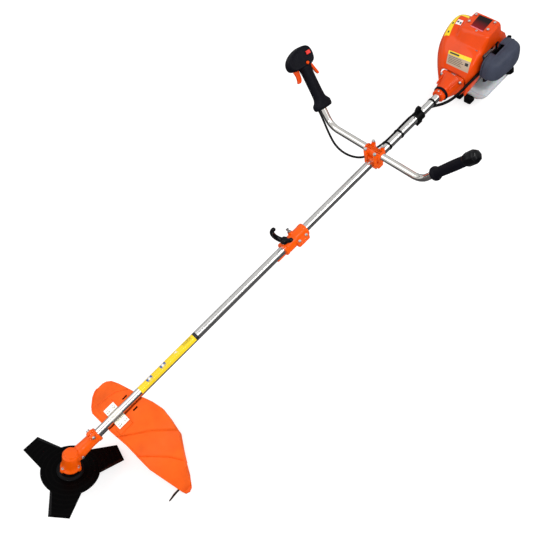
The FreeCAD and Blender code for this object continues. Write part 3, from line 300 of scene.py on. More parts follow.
class Paint:
    """A Principled material with helpers for its procedural parts."""

    def __init__(self, name, **values):
        self.material = bpy.data.materials.new(name)
        self.material.use_nodes = True
        self.tree = self.material.node_tree
        self.shader = self.tree.nodes["Principled BSDF"]
        for socket, value in values.items():
            self.shader.inputs[socket.replace("_", " ")].default_value = value
        self.place = self.node("ShaderNodeTexCoord").outputs["Object"]

    def node(self, kind, **settings):
        made = self.tree.nodes.new(kind)
        for key, value in settings.items():
            setattr(made, key, value)
        return made

    def link(self, source, target):
        self.tree.links.new(source, target)

    def noise(self, scale, detail, stretch=(1, 1, 1)):
        mapping = self.node("ShaderNodeMapping")
        mapping.inputs["Scale"].default_value = stretch
        self.link(self.place, mapping.inputs["Vector"])
        noise = self.node("ShaderNodeTexNoise")
        noise.inputs["Scale"].default_value = scale
        noise.inputs["Detail"].default_value = detail
        noise.inputs["Roughness"].default_value = 0.55
        self.link(mapping.outputs["Vector"], noise.inputs["Vector"])
        return noise.outputs["Fac"]

    def grain(self, scale):
        cells = self.node("ShaderNodeTexVoronoi")
        cells.inputs["Scale"].default_value = scale
        self.link(self.place, cells.inputs["Vector"])
        return cells.outputs["Distance"]

    def spread(self, value, low, high, start=0.3, end=0.7):
        scale = self.node("ShaderNodeMapRange")
        for socket, number in zip(("From Min", "From Max", "To Min", "To Max"), (start, end, low, high)):
            scale.inputs[socket].default_value = number
        self.link(value, scale.inputs["Value"])
        return scale.outputs["Result"]

    def colours(self, value, first, second, start=0.3, end=0.7):
        ramp = self.node("ShaderNodeValToRGB")
        ramp.color_ramp.elements[0].position = start
        ramp.color_ramp.elements[1].position = end
        ramp.color_ramp.elements[0].color = (*first, 1)
        ramp.color_ramp.elements[1].color = (*second, 1)
        self.link(value, ramp.inputs["Fac"])
        self.link(ramp.outputs["Color"], self.shader.inputs["Base Color"])
        return self

    def roughness(self, value, low, high):
        self.link(self.spread(value, low, high), self.shader.inputs["Roughness"])
        return self

    def bump(self, *heights):
        """Each height is (value, strength, distance in millimetres)."""
        normal = None
        for value, strength, distance in heights:
            bump = self.node("ShaderNodeBump")
            bump.inputs["Strength"].default_value = strength
            bump.inputs["Distance"].default_value = distance * MM
            self.link(value, bump.inputs["Height"])
            if normal:
                self.link(normal, bump.inputs["Normal"])
            normal = bump.outputs["Normal"]
        self.link(normal, self.shader.inputs["Normal"])
        return self


def shade(colour, factor):
    return tuple(min(1.0, channel * factor) for channel in colour)


def glossy(name, colour, low=0.16, high=0.3, coat=0.1, grain=0.05, tint=(1, 1, 1), specular=0.35):
    """Painted or moulded gloss with faint clouds, orange peel and fine scuffs."""
    paint = Paint(name, Coat_Weight=coat, Coat_Roughness=0.06, Specular_IOR_Level=specular,
                  Specular_Tint=(*tint, 1))
    clouds = paint.noise(14, 4)
    paint.colours(clouds, shade(colour, 0.9), shade(colour, 1.08))
    paint.roughness(paint.noise(90, 5), low, high)
    paint.bump((paint.noise(320, 2), grain, 0.25), (paint.noise(1500, 2), grain * 0.6, 0.08))
    return paint.material


def matt(name, colour, low=0.42, high=0.6, scale=1400, depth=0.25, specular=0.25):
    """Moulded plastic or rubber with a fine spark-eroded grain."""
    paint = Paint(name, Specular_IOR_Level=specular)
    clouds = paint.noise(22, 4)
    paint.colours(clouds, shade(colour, 0.86), shade(colour, 1.14))
    paint.roughness(paint.noise(120, 4), low, high)
    paint.bump((paint.grain(scale), depth, 0.12), (paint.noise(260, 3), 0.12, 0.15))
    return paint.material


def metal(name, colour, low=0.15, high=0.35, stretch=(1, 1, 1), scale=900, depth=0.08, dirt=0.92):
    """Bare metal; stretch lays fine drawing or turning lines across one axis."""
    paint = Paint(name, Metallic=1.0)
    lines = paint.noise(scale, 3, stretch)
    paint.colours(paint.noise(30, 4), shade(colour, dirt), shade(colour, 1.04))
    paint.roughness(lines, low, high)
    paint.bump((lines, depth, 0.05))
    return paint.material


ORANGE = (0.76, 0.058, 0.0005)
HEAD_ORANGE = (0.92, 0.105, 0.001)
GUARD_ORANGE = (0.93, 0.115, 0.007)
WARM = (1.0, 0.55, 0.30)
EVENLY = (1, 1, 1)
ALONG_SHAFT = (0.02, 1, 1)
ACROSS_PARTS = (1, 0.05, 1)

orange_shell = glossy("orange_shell", ORANGE, 0.3, 0.4, 0.5, 0.03, WARM, 0.15)
orange_coat = glossy("orange_powder_coat", ORANGE, 0.3, 0.4, 0.5, 0.06, WARM, 0.15)
head_coat = glossy("orange_head_coat", HEAD_ORANGE, 0.3, 0.4, 0.4, 0.06, WARM, 0.15)
orange_parts = glossy("orange_controls", ORANGE, 0.3, 0.42, 0.05, 0.06, WARM)
orange_guard = matt("orange_guard", GUARD_ORANGE, 0.36, 0.5, 900, 0.12, specular=0.15)
tube_metal = metal("polished_tube", (0.80, 0.79, 0.77), 0.08, 0.16, ALONG_SHAFT, 500, 0.006)
bar_metal = metal("bar_chrome", (0.78, 0.76, 0.72), 0.06, 0.14, EVENLY, 300, 0.006)
bright_steel = metal("bright_steel", (0.66, 0.66, 0.65), 0.2, 0.38)
zinc_plate = metal("zinc_plate", (0.80, 0.78, 0.70), 0.25, 0.42, ACROSS_PARTS, 500, 0.06)
cast_alloy = metal("cast_alloy", (0.42, 0.43, 0.44), 0.4, 0.6, EVENLY, 400, 0.35, 0.75)
brown_steel = metal("browned_steel", (0.12, 0.075, 0.055), 0.3, 0.5, EVENLY, 250, 0.12, 0.6)
ground_steel = metal("ground_edge", (0.022, 0.022, 0.023), 0.25, 0.4, EVENLY, 600, 0.1)
black_enamel = glossy("black_enamel", (0.0015, 0.0015, 0.002), 0.26, 0.42, 0.03, 0.1, specular=0.1)
black_gloss = glossy("black_gloss_cap", (0.002, 0.002, 0.003), 0.18, 0.3, 0.08, 0.08, specular=0.15)
black_plastic = matt("black_plastic", (0.002, 0.002, 0.0025), 0.34, 0.5, specular=0.1)
black_grip = matt("black_grip_rubber", (0.0025, 0.0025, 0.006), 0.4, 0.6, 1100, 0.35, specular=0.11)
black_cable = matt("cable_sheath", (0.002, 0.002, 0.0025), 0.3, 0.42, 2200, 0.1, specular=0.1)
slate_plastic = matt("slate_plastic", (0.042, 0.049, 0.076), 0.38, 0.52, 1000, 0.3, specular=0.2)
red_plastic = glossy("red_plastic", (0.75, 0.03, 0.02), 0.25, 0.4, 0.2)
white_ceramic = glossy("white_ceramic", (0.80, 0.79, 0.74), 0.15, 0.3, 0.4)
rope_weave = matt("rope_braid", (0.62, 0.60, 0.52), 0.6, 0.8, 1500, 0.8)
yellow_film = glossy("yellow_film", (0.93, 0.66, 0.01), 0.22, 0.36, 0.2, 0.02)
white_film = glossy("white_film", (0.86, 0.86, 0.84), 0.25, 0.4, 0.2, 0.02)
beige_film = glossy("beige_film", (0.47, 0.35, 0.25), 0.3, 0.45, 0.2, 0.02)
blue_film = glossy("blue_film", (0.02, 0.09, 0.36), 0.25, 0.4, 0.2, 0.02)
ink_film = glossy("ink_film", (0.012, 0.012, 0.014), 0.3, 0.45, 0.2, 0.02)
pink_film = glossy("pink_film", (0.80, 0.16, 0.20), 0.25, 0.4, 0.2, 0.02)


def place_along(paint, axis_name):
    """The object's own place along one axis, as a value."""
    axis = paint.node("ShaderNodeSeparateXYZ")
    paint.link(paint.place, axis.inputs["Vector"])
    return axis.outputs[axis_name]


def dark_red_film():
    """Near black at one end and dark red at the other, along the shaft."""
    paint = Paint("dark_red_film", Coat_Weight=0.1, Coat_Roughness=0.05, Specular_IOR_Level=0.15)
    start = (SHAFT @ Vector((STICKER_FADE[0], 0, 0))).x
    end = start + (STICKER_FADE[1] - STICKER_FADE[0]) * MM
    across = paint.spread(place_along(paint, "X"), 0.0, 1.0, start, end)
    paint.colours(across, (0.22, 0.001, 0.004), (0.006, 0.001, 0.002), 0.05, 0.75)
    paint.roughness(paint.noise(60, 4), 0.18, 0.3)
    return paint.material


def tank_plastic():
    """Milky blow-moulded plastic, warmer and darker in its lower part where the fuel shows, and lighter and
    bluer above it: a painted highlight.
    """
    paint = Paint("milky_tank", Subsurface_Weight=0.25, Subsurface_Scale=0.01, Coat_Weight=0.15,
                  Coat_Roughness=0.2)
    fuel_to_highlight = paint.spread(place_along(paint, "Z"), 0.0, 1.0, *FUEL_AND_HIGHLIGHT_LINE)
    # Painted highlight: lighter, bluer plastic above these heights; the warmer tone below stands for the
    # fuel.
    paint.colours(fuel_to_highlight, (0.44, 0.43, 0.42), (0.55, 0.57, 0.60), 0.2, 0.8)
    paint.roughness(paint.noise(80, 4), 0.28, 0.42)
    paint.bump((paint.noise(120, 3), 0.15, 0.4))
    return paint.material


def blade_enamel():
    """Satin black with faint turned rings and pale scuffs, laid out round the spindle."""
    paint = Paint("blade_enamel", Specular_IOR_Level=0.035)
    turn = paint.node("ShaderNodeMapping", vector_type="TEXTURE")
    turn.inputs["Location"].default_value = SHAFT_ORIGIN
    turn.inputs["Rotation"].default_value = (0, math.radians(HEAD_ANGLE), 0)
    paint.link(paint.place, turn.inputs["Vector"])
    rings = paint.node("ShaderNodeTexWave", wave_type="RINGS", rings_direction="Z")
    for socket, value in (("Scale", 22), ("Distortion", 1.5), ("Detail", 3)):
        rings.inputs[socket].default_value = value
    paint.link(turn.outputs["Vector"], rings.inputs["Vector"])
    paint.colours(rings.outputs["Fac"], (0.0006, 0.0006, 0.0007), (0.0018, 0.0017, 0.0017), 0.8, 1.0)
    paint.roughness(paint.noise(60, 5), 0.22, 0.4)
    paint.bump((paint.noise(500, 3), 0.12, 0.1))
    return paint.material


STICKER_FADE = (1766, 1816)
# Heights where the tank's colour turns from the fuel's warmer tone to a lighter, bluer painted highlight.
FUEL_AND_HIGHLIGHT_LINE = (0.02, 0.07)  # metres above the floor
sticker_red = dark_red_film()
milky_tank = tank_plastic()
black_blade = blade_enamel()

FINISHES = {
    "orange_metal": orange_coat, "orange_gloss": orange_shell, "orange_controls": orange_parts,
    "orange_guard": orange_guard, "polished_tube": tube_metal, "black_steel": black_enamel,
    "knife_steel": brown_steel, "bright_steel": bright_steel, "black_plastic": black_plastic,
    "black_rubber": black_cable, "red_plastic": red_plastic, "primer_rubber": red_plastic,
    "cast_alloy": cast_alloy, "plug_ceramic": white_ceramic, "slate_plastic": slate_plastic,
    "starter_plastic": black_plastic, "tank_plastic": milky_tank, "rope_cord": rope_weave,
}


def finish_cad_nodes():
    """The CAD nodes that stay visible take the finish of their slot."""
    own = {"handlebar": bar_metal, "guard_clamp": zinc_plate, "cutting_blade": black_blade,
           "gear_case": head_coat}
    for name, obj in NODES.items():
        obj.data.materials.clear()
        obj.data.materials.append(own.get(name, FINISHES[SLOT_OF[name]]))


# ---------------- surfaces that decals lie on

def surface_of(*objects):
    """A search tree over the final shape of some pieces."""
    corners, faces = [], []
    graph = bpy.context.evaluated_depsgraph_get()
    for obj in objects:
        shown = obj.evaluated_get(graph)
        mesh = shown.to_mesh()
        start = len(corners)
        corners.extend(shown.matrix_world @ vertex.co for vertex in mesh.vertices)
        faces.extend([start + i for i in face.vertices] for face in mesh.polygons)
        shown.to_mesh_clear()
    return BVHTree.FromPolygons(corners, faces)


DROP_ABOVE, DROP_REACH = 0.06, 0.25


def decal(name, corners, material, tree, down=(0, 0, -1), lift=0.35, steps=16):
    """A patch between four corners, dropped along a direction onto the engine cover."""
    first, second, third, fourth = (Vector(corner) for corner in corners)
    way = (SHAFT.to_3x3() @ Vector(down)).normalized()
    points = []
    for i in range(steps + 1):
        u = i / steps
        for j in range(steps + 1):
            v = j / steps
            flat = (first * (1 - u) + second * u) * (1 - v) + (fourth * (1 - u) + third * u) * v
            hit = tree.ray_cast(SHAFT @ flat - way * DROP_ABOVE, way, DROP_REACH)
            place = hit[0] - way * lift * MM if hit[0] else SHAFT @ flat
            points.append(SHAFT.inverted() @ place)
    faces = bands(steps + 1, steps + 1, closed=False)
    return build(name, points, faces, SHAFT, material, "engine_shroud", instead=False, sharp=180)


def bolt(name, place_at, direction, radius, height, node, material=bright_steel, sides=0):
    """A screw head: round with a socket, or with flats."""
    frame_at = axis_frame(place_at, direction)
    if sides:
        outline = circle(radius, sides)
        head = plate(name, outline, 0, height, frame_at, material, node, instead=False, sharp=30)
        return bevel(head, radius * 0.12, 2)
    profile = [(0, 0.01), (0, radius), (height * 0.75, radius), (height * 0.93, radius * 0.93),
               (height, radius * 0.8), (height, radius * 0.5), (height * 0.5, radius * 0.46),
               (height * 0.45, 0.01)]
    return turned(name, profile, frame_at, material, node, count=28, instead=False, sharp=50)


# ---------------- engine cover

# Sections of the dome along the shaft, each with eight (y, z) points from its right edge over to its left.
SHROUD_STATIONS = [
    (1658, [(-46, -44), (-50, 0), (-46, 24), (-30, 36), (34, 38), (54, 30), (62, 4), (58, -40)]),
    (1676, [(-52, -28), (-56, 8), (-51, 44), (-34, 60), (40, 66), (66, 60), (79, 26), (76, -18)]),
    (1700, [(-56, -14), (-59, 20), (-54, 62), (-38, 82), (46, 90), (78, 84), (95, 50), (94, 8)]),
    (1730, [(-58, 8), (-60, 34), (-56, 74), (-40, 98), (48, 106), (88, 102), (106, 66), (105, 18)]),
    (1772, [(-58, 18), (-60, 44), (-54, 86), (-40, 107), (50, 120), (94, 116), (111, 76), (110, 24)]),
    (1808, [(-56, 20), (-58, 44), (-52, 86), (-38, 107), (48, 121), (92, 116), (110, 76), (109, 24)]),
    (1838, [(-55, 20), (-57, 44), (-51, 76), (-37, 92), (46, 99), (85, 93), (102, 64), (102, 24)]),
    (1866, [(-50, 16), (-52, 34), (-45, 56), (-34, 64), (40, 68), (72, 62), (90, 46), (92, 20)]),
]
PANEL_TOP = 137.5
PANEL_FRONT, PANEL_BACK, PANEL_LEFT, PANEL_RIGHT = 1755.0, 1826.0, 44.0, -52.0
CARBURETTOR_WINDOW, COVER_SIDE = ((1728, 1784), (14, 80)), -45


def panel_share(x, y):
    """How much of the raised panel a point of the dome's top has, from 0 to 1."""
    front = PANEL_FRONT - 0.10 * (y - 5)
    corner = 0.012 * max(0.0, abs(y + 4) - 28) ** 2
    lengthwise = (smoothstep(front - 36 + corner, front + 1 + corner, x)
                  * smoothstep(-PANEL_BACK - 6, -PANEL_BACK, -x))
    return (lengthwise * smoothstep(-PANEL_LEFT - 14, -PANEL_LEFT, -y)
            * smoothstep(PANEL_RIGHT - 6, PANEL_RIGHT, y))


def shroud_point(x, y, z):
    """A point of the dome, drawn up to the raised panel's slightly crowned top."""
    share = panel_share(x, y) * smoothstep(84, 100, z)
    crown = 2.0 * (1 - (y / 60.0) ** 2)
    return (x, y, z + share * (PANEL_TOP + crown - 2.0 - z))


def engine_cover():
    rows = [[x] + [value for corner in corners for value in corner] for x, corners in SHROUD_STATIONS]
    loops = []
    for x, *values in passed_through(rows, 17):
        ring = passed_through(list(zip(values[::2], values[1::2])), 20)
        loops.append([shroud_point(x, y, z) for y, z in ring])
    lip = [[(x + 1.5, y * 0.86, z * 0.86) for x, y, z in loops[0]]]
    cover = lofted("engine_cover", lip + loops, SHAFT, orange_shell, "engine_shroud", closed=False,
                   caps=False, sharp=60,
                   keep=lambda x, y, z: y >= COVER_SIDE or not in_window(x, z, CARBURETTOR_WINDOW))
    thickened(cover, 2.4)
    return surface_of(cover)


def panel_stickers(tree):
    decal("panel_sticker", [(1764, 22, 150), (1820, 28, 150), (1822, -21, 150), (1763, -24, 150)],
          sticker_red, tree)
    decal("panel_stripe", [(1764, 22, 150), (1768, 22.4, 150), (1767, -24, 150), (1763, -24, 150)], pink_film,
          tree, lift=0.5)


def shoulder_stickers(tree):
    """The labels on the dome's left shoulder, and the strip that runs forward from them."""
    sideways = (0, -0.5, -0.86)
    decal("shoulder_label", [(1783, 80, 150), (1785, 62, 150), (1767, 60, 150), (1764, 79, 150)], white_film,
          tree)
    for i, (x, y) in enumerate([(1775, 75), (1774, 65)]):
        spot = [(x + 3, y + 3, 150), (x + 3, y - 3, 150), (x - 3, y - 3, 150), (x - 3, y + 3, 150)]
        decal("shoulder_mark_%d" % i, spot, ink_film, tree, lift=0.5, steps=6)
    decal("shoulder_band", [(1815, 100, 150), (1817, 54, 150), (1803, 52, 150), (1801, 98, 150)], yellow_film,
          tree)
    decal("shoulder_strip", [(1801, 100, 150), (1800, 107, 130), (1722, 106, 120), (1724, 98, 150)],
          yellow_film, tree, sideways)
    for i in range(2):
        x = 1732 + 30 * i
        mark = [(x + 6, 101, 146), (x + 6, 104, 140), (x, 104, 140), (x, 101, 146)]
        decal("strip_mark_%d" % i, mark, ink_film, tree, sideways, 0.5, 6)
    bolt("panel_screw", (1758, -6, 136.2), (0, 0, 1), 3.4, 2.6, "engine_shroud")


def along_label(label, u0, u1, v0, v1):
    """Corners of a part of a label, given by shares of its width and height."""
    def spot(u, v):
        top = Vector(label[0]).lerp(Vector(label[1]), u)
        return top.lerp(Vector(label[3]).lerp(Vector(label[2]), u), v)
    return [spot(u0, v0), spot(u1, v0), spot(u1, v1), spot(u0, v1)]


def rating_label(tree):
    """A generic rating label, whose lines are plain bars."""
    forward = (0.7, 0, -0.7)
    label = [(1693, 46, 82), (1698, -36, 85), (1670, -44, 49), (1667, 37, 51)]
    decal("rating_label", label, beige_film, tree, forward)
    decal("rating_band", along_label(label, 0.0, 1.0, 0.0, 0.26), yellow_film, tree, forward, 0.5)
    decal("rating_title", along_label(label, 0.06, 0.48, 0.07, 0.19), ink_film, tree, forward, 0.65, 8)
    for i in range(5):
        row = 0.36 + 0.11 * i
        line = along_label(label, 0.06, 0.62 + 0.06 * (i % 3), row, row + 0.035)
        decal("rating_line_%d" % i, line, ink_film, tree, forward, 0.5, 6)
    decal("rating_block", along_label(label, 0.80, 0.94, 0.42, 0.62), ink_film, tree, forward, 0.5, 6)


# ---------------- air filter, tank, carburettor side

COVER_OUTLINE = [(1694, 30), (1706, 15), (1780, 4), (1812, 6), (1832, 14), (1841, 28), (1841, 80), (1830, 92),
                 (1722, 90), (1704, 76)]
COVER_MIDDLE = (1780.0, 44.0)
CHOKE_SLOT, CHOKE_SLOT_END = ((1744, 1790), (66, 100)), -96


def cover_loop(share, y):
    return [(x, y, z) for x, z in softened(scaled(COVER_OUTLINE, COVER_MIDDLE, share), 7)]


def filter_cover():
    rounds = [(1.01, -70), (1.01, -74), (0.985, -75), (0.985, -77), (1.02, -78), (1.03, -92), (1.0, -106),
              (0.95, -115), (0.88, -121.5), (0.79, -125.5), (0.66, -128), (0.45, -129), (0.2, -129)]
    cover = lofted("filter_cover", [cover_loop(share, y) for share, y in rounds], SHAFT, slate_plastic,
                   "air_filter_cover", sharp=50,
                   keep=lambda x, y, z: y <= CHOKE_SLOT_END or not in_window(x, z, CHOKE_SLOT))
    thickened(cover, 2.0)
    ridge = [(1.035, -90.5), (1.045, -92), (1.045, -94), (1.03, -95.5)]
    lofted("filter_cover_bead", [cover_loop(share, y) for share, y in ridge], SHAFT, slate_plastic,
           "air_filter_cover", caps=False, instead=False, sharp=70)
    bolt("filter_cover_knob", (1834, -97, 9), (0.35, -0.9, -0.25), 9, 10, "air_filter_cover", black_plastic,
         sides=8)


def tank_loop(z, x0, x1, y0, y1, corner):
    return [(x, y, z) for x, y in rectangle(x0, x1, y0, y1, corner, 7)]


TANK_NECK = axis_frame((1838, -62, -71), (0, -0.8, 0.6))


def tank():
    # Height, x from and to, y from and to, corner radius.
    rows = [(-52, 1722, 1858, -76, 70, 20), (-56, 1716, 1862, -84, 75, 20), (-64, 1712, 1864, -89, 80, 20),
            (-72, 1712, 1864, -89.5, 80, 20), (-88, 1713, 1863, -84, 76, 21), (-102, 1717, 1861, -76, 69, 22),
            (-116, 1724, 1856, -64, 60, 22), (-126, 1732, 1851, -53, 50, 20), (-130, 1740, 1844, -44, 42, 16)]
    loops = [tank_loop(*row) for row in rows]
    lofted("fuel_tank_body", loops, SHAFT, milky_tank, "fuel_tank", sharp=70)
    seam = [(1.0, -70.6), (3.0, -71.2), (3.0, -72.8), (1.0, -73.4)]
    loops = [tank_loop(z, 1712 - d / 2, 1864 + d / 2, -89.5 - d / 2, 80 + d / 2, 21) for d, z in seam]
    lofted("fuel_tank_seam", loops, SHAFT, milky_tank, "fuel_tank", caps=False, instead=False, sharp=40)
    neck = [(0, 10), (0, 15), (12, 14), (16, 13), (33, 13), (33, 10)]
    turned("fuel_tank_neck", neck, TANK_NECK, milky_tank, "fuel_tank", instead=False)
    for side, word in SIDES:
        low = min(side * 6, side * 34)
        foot = plate("tank_foot_" + word, rectangle(1701, 1730, low - 6, low + 22, 6), -130, -102, SHAFT,
                     black_plastic, "fuel_tank", instead=False)
        bevel(foot, 3)


def tank_cap():
    loops = []
    for along, radius, ridge in ((28, 15.5, 0), (28.6, 16.8, 0.3), (30, 17, 0.7), (40, 17, 0.7),
                                 (41.6, 16.2, 0.5), (43, 14.4, 0), (43, 5, 0)):
        ribbed = circle(lambda angle: radius - ridge * (0.5 + 0.5 * math.cos(20 * angle)), 120)
        loops.append([(x, y, along) for x, y in ribbed])
    lofted("fuel_cap_body", loops, TANK_NECK, black_plastic, "fuel_cap", sharp=40)
    bar = plate("fuel_cap_bar", rectangle(-4, 4, -14, 14, 3.5), 42.5, 48, TANK_NECK, black_plastic,
                "fuel_cap", instead=False)
    bevel(bar, 1.2)


# ---------------- clutch housing

def clutch_cone():
    profile = [(1588, 21), (1588.5, 21.8), (1590, 22), (1592, 22), (1597, 24.5), (1620, 32.2), (1640, 39),
               (1647, 41.2), (1647, 30), (1597, 19), (1588, 15)]
    turned("clutch_cone", profile, ALONG_TUBE, orange_coat, "clutch_housing", count=96, sharp=45)
    flange = rectangle(-42, 42, -33, 33, 12, 8)
    rounds = ((1644.6, 0.965), (1645.2, 0.99), (1646.5, 1.0), (1658, 1.0))
    lofted("clutch_flange", [[(x, y * share, z * share) for y, z in flange] for x, share in rounds], SHAFT,
           orange_coat, "clutch_housing", instead=False, sharp=45)
    collar = [(1575, 13.4), (1575, 19), (1575.8, 20.4), (1577, 21), (1586, 21), (1588, 20.2), (1588, 13.4)]
    turned("clutch_collar", collar, ALONG_TUBE, orange_coat, "clutch_housing", instead=False)
    ring = [(1588, 17), (1588.4, 23.5), (1590, 25.3), (1595, 25.5), (1597, 24.5), (1597, 17)]
    turned("rubber_ring", ring, ALONG_TUBE, black_grip, "isolator_ring")
    for side, word in reversed(SIDES):
        rib = [(1602, side * 24, 20), (1645, side * 29, 26)]
        outline = rib + [(x, y, z + 5) for x, y, z in rib[::-1]]
        loops = [[(x, y + half, z) for x, y, z in outline] for half in (-2, 2)]
        bevel(lofted("cone_rib_" + word, loops, SHAFT, orange_coat, "clutch_housing", instead=False), 1.2)
    for i, (y, z) in enumerate([(35, 25), (35, -25), (-35, 25), (-35, -25)]):
        bolt("flange_bolt_%d" % i, (1645, y, z), (-1, 0, 0), 5.0, 5.5, "clutch_housing")
    bolt("collar_screw", (1581, 0, 20), (0, 0, 1), 3.2, 2.6, "clutch_housing")


# ---------------- throttle grip and its controls

GRIP_SECTIONS = [
    # out, front reach, back reach, half width, squareness
    (62, 22, 31, 13.5, 2.3), (63.5, 26, 34.5, 16.5, 2.4), (68, 29, 36.5, 18, 2.4), (76, 29.5, 37, 18, 2.4),
    (82, 27, 36.5, 18, 2.3), (88, 20, 32.5, 18.3, 2.1), (98, 14.8, 27, 18.5, 2.0),
    (112, 13.4, 25.5, 18.6, 2.0), (140, 13.0, 25.0, 18.6, 2.0), (168, 13.0, 25.0, 18.6, 2.0),
    (188, 13.6, 26, 18.8, 2.0), (200, 15.5, 28, 19, 2.1), (212, 18, 30, 18, 2.2),
]
HEAD_OUTLINE = [(-28, 203), (-42, 212), (-46, 230), (-45, 250), (-36, 263), (-10, 266), (14, 261), (34, 251),
                (47, 238), (51, 222), (46, 209), (32, 204), (4, 203)]
HEAD_MIDDLE = (0.0, 234.0)
SWITCH_X, SWITCH_Z = -27.5, 240
BUTTON_X, BUTTON_Z = -11, 213


def grip_sleeve():
    loops = []
    for out, front, back, half, power in passed_through(GRIP_SECTIONS, 5):
        loops.append([(x, y, out) for x, y in oval(front, back, half, power, 64)])
    lofted("throttle_sleeve", loops, THROTTLE_ARM, black_grip, "throttle_grip_left", sharp=60)


def grip_head():
    outline = softened(HEAD_OUTLINE, 7)
    rounds = [(-19.5, 0.84), (-19.2, 0.9), (-17.5, 0.965), (-14, 0.995), (-8, 1.01), (8, 1.01), (14, 0.995),
              (17.5, 0.965), (19.4, 0.915), (19.9, 0.885), (19.9, 0.865), (19.3, 0.85), (19.2, 0.83),
              (19.4, 0.5), (19.4, 0.1)]
    head = [[(x, y, z) for x, z in scaled(outline, HEAD_MIDDLE, share)] for y, share in rounds]
    lofted("throttle_head", head, THROTTLE_ARM, black_grip, "throttle_grip_right", sharp=50)
    seam = [[(x, y, z) for x, z in scaled(outline, HEAD_MIDDLE, 1.013)] for y in (-0.5, 0.5)]
    lofted("throttle_seam", seam, THROTTLE_ARM, black_plastic, "throttle_grip_left", caps=False,
           instead=False)


def switch_surrounds():
    """The rims round the stop switch and the start lock button."""
    outer = rectangle(-10.2, 10.2, -8.2, 8.2, 3, 5)
    inner = rectangle(-8.5, 8.5, -6.6, 6.6, 2, 5)
    bezel = [[(x, y, 0) for x, y in outer], [(x, y, 0.9) for x, y in outer],
             [(x * 0.97, y * 0.97, 1.4) for x, y in outer], [(x, y, 1.4) for x, y in inner],
             [(x, y, -2) for x, y in inner]]
    lofted("switch_frame", bezel, grip_face(SWITCH_X, 19.0, SWITCH_Z), black_plastic, "throttle_grip_left",
           caps=False, instead=False, sharp=40)
    turned("button_ring", [(0, 5.6), (0, 7.6), (1.2, 7.4), (1.7, 6.6), (1.2, 5.6)],
           grip_face(BUTTON_X, 18.6, BUTTON_Z), black_plastic, "throttle_grip_left", count=40, instead=False)


def grip_screws():
    """Three screws in the head and two in the handle."""
    to_shaft = SHAFT.inverted() @ THROTTLE_ARM
    outward = to_shaft.to_3x3() @ Vector((0, 1, 0))
    for i, (x, z) in enumerate([(30, 222), (-30, 220), (4, 252), (-4, 110), (-4, 180)]):
        y = 19.0 if z > HEAD_OUTLINE[0][1] else 18.0
        bolt("grip_screw_%d" % i, to_shaft @ Vector((x, y, z)), outward, 2.3, 0.6, "throttle_grip_left",
             black_enamel)


def turns_left(points):
    return sum(a[0] * b[1] - b[0] * a[1] for a, b in zip(points, points[1:] + points[:1])) > 0


def side_piece(name, outline, half, material, node, edge=1.6):
    """A lever drawn in the arm's xz plane with rounded edges."""
    points = softened(outline, 4)
    turn = 1 if turns_left(points) else -1
    loops = []
    for y, inset in ((-half, edge), (-half + edge * 0.3, edge * 0.35), (-half + edge, 0), (half - edge, 0),
                     (half - edge * 0.3, edge * 0.35), (half, edge)):
        ring = []
        for i, here in enumerate(points):
            before, after = Vector(points[i - 1]), Vector(points[(i + 1) % len(points)])
            along = (after - before).normalized()
            moved = Vector(here) + Vector((-along.y, along.x)) * turn * inset
            ring.append((moved.x, y, moved.y))
        loops.append(ring)
    return lofted(name, loops, THROTTLE_ARM, material, node, sharp=50)


def grip_controls():
    trigger = [(23, 216), (36, 216), (39.5, 206), (36.8, 196), (36.3, 186), (39, 176), (42.5, 169),
               (38, 166.5), (29, 167.5), (24, 175), (21.5, 190), (20, 204)]
    side_piece("trigger_lever", trigger, 5.2, orange_parts, "throttle_trigger")
    lockout = [(-23, 209), (-32, 209), (-35, 198), (-39, 182), (-44, 168), (-40, 164), (-34, 167), (-29, 184),
               (-26.5, 197)]
    side_piece("lockout_lever", lockout, 4.0, orange_parts, "trigger_lockout", edge=1.2)
    rows = []
    for x, top in ((-7.4, 5.6), (-7.0, 6.5), (-5, 6.2), (0, 4.6), (5, 6.2), (7.0, 6.5), (7.4, 5.6)):
        rows.append([(x, -5.6, 0), (x, -5.6, top - 0.6), (x, -5.0, top), (x, 5.0, top), (x, 5.6, top - 0.6),
                     (x, 5.6, 0)])
    lofted("switch_rocker", rows, grip_face(SWITCH_X, 16.0, SWITCH_Z), red_plastic, "stop_switch", sharp=35)
    turned("start_button", [(0, 0.01), (0, 5), (5.2, 5), (6.1, 4.3), (6.4, 3), (6.0, 1.5), (5.9, 0.01)],
           grip_face(BUTTON_X, 16.6, BUTTON_Z), orange_parts, "start_lock_button", count=40)


# ---------------- plain grip

def right_handle():
    """A ribbed sleeve with a collar and a faceted end cap."""
    sleeve = [(66, 11), (65, 13), (65, 19.5), (66, 20.6), (71, 20.8), (73.5, 19.8), (76, 16.8), (80, 15.6),
              (100, 15.9), (150, 16.6), (185, 16.0), (198, 15.6), (198, 11)]
    count = 96
    loops = []
    for along, radius in sleeve:
        groove = 0.35 * smoothstep(84, 92, along)
        ribbed = circle(lambda angle: radius - groove * (round(angle * count / (2 * math.pi)) % 4 < 2), count)
        loops.append([(x, y, along) for x, y in ribbed])
    lofted("right_sleeve", loops, PLAIN_ARM, black_grip, "plain_grip", caps=False, sharp=40)
    collar = [(64.6, 11.2), (64.6, 17), (66, 21.5), (70, 22), (72.5, 21.4), (73.6, 17), (73.6, 11.2)]
    turned("right_collar", collar, PLAIN_ARM, black_grip, "plain_grip", instead=False)
    cap = ((196, 14.5), (198, 17.4), (202, 19.6), (206, 20.4), (232, 20.8), (238, 20), (243, 17.4),
           (246.4, 13.5), (247, 7))
    loops = [[(x, y, along) for x, y in faceted(radius, 8, 96, 0.45)] for along, radius in cap]
    lofted("right_end_cap", loops, PLAIN_ARM, black_gloss, "plain_grip", instead=False, sharp=50)


# ---------------- guard

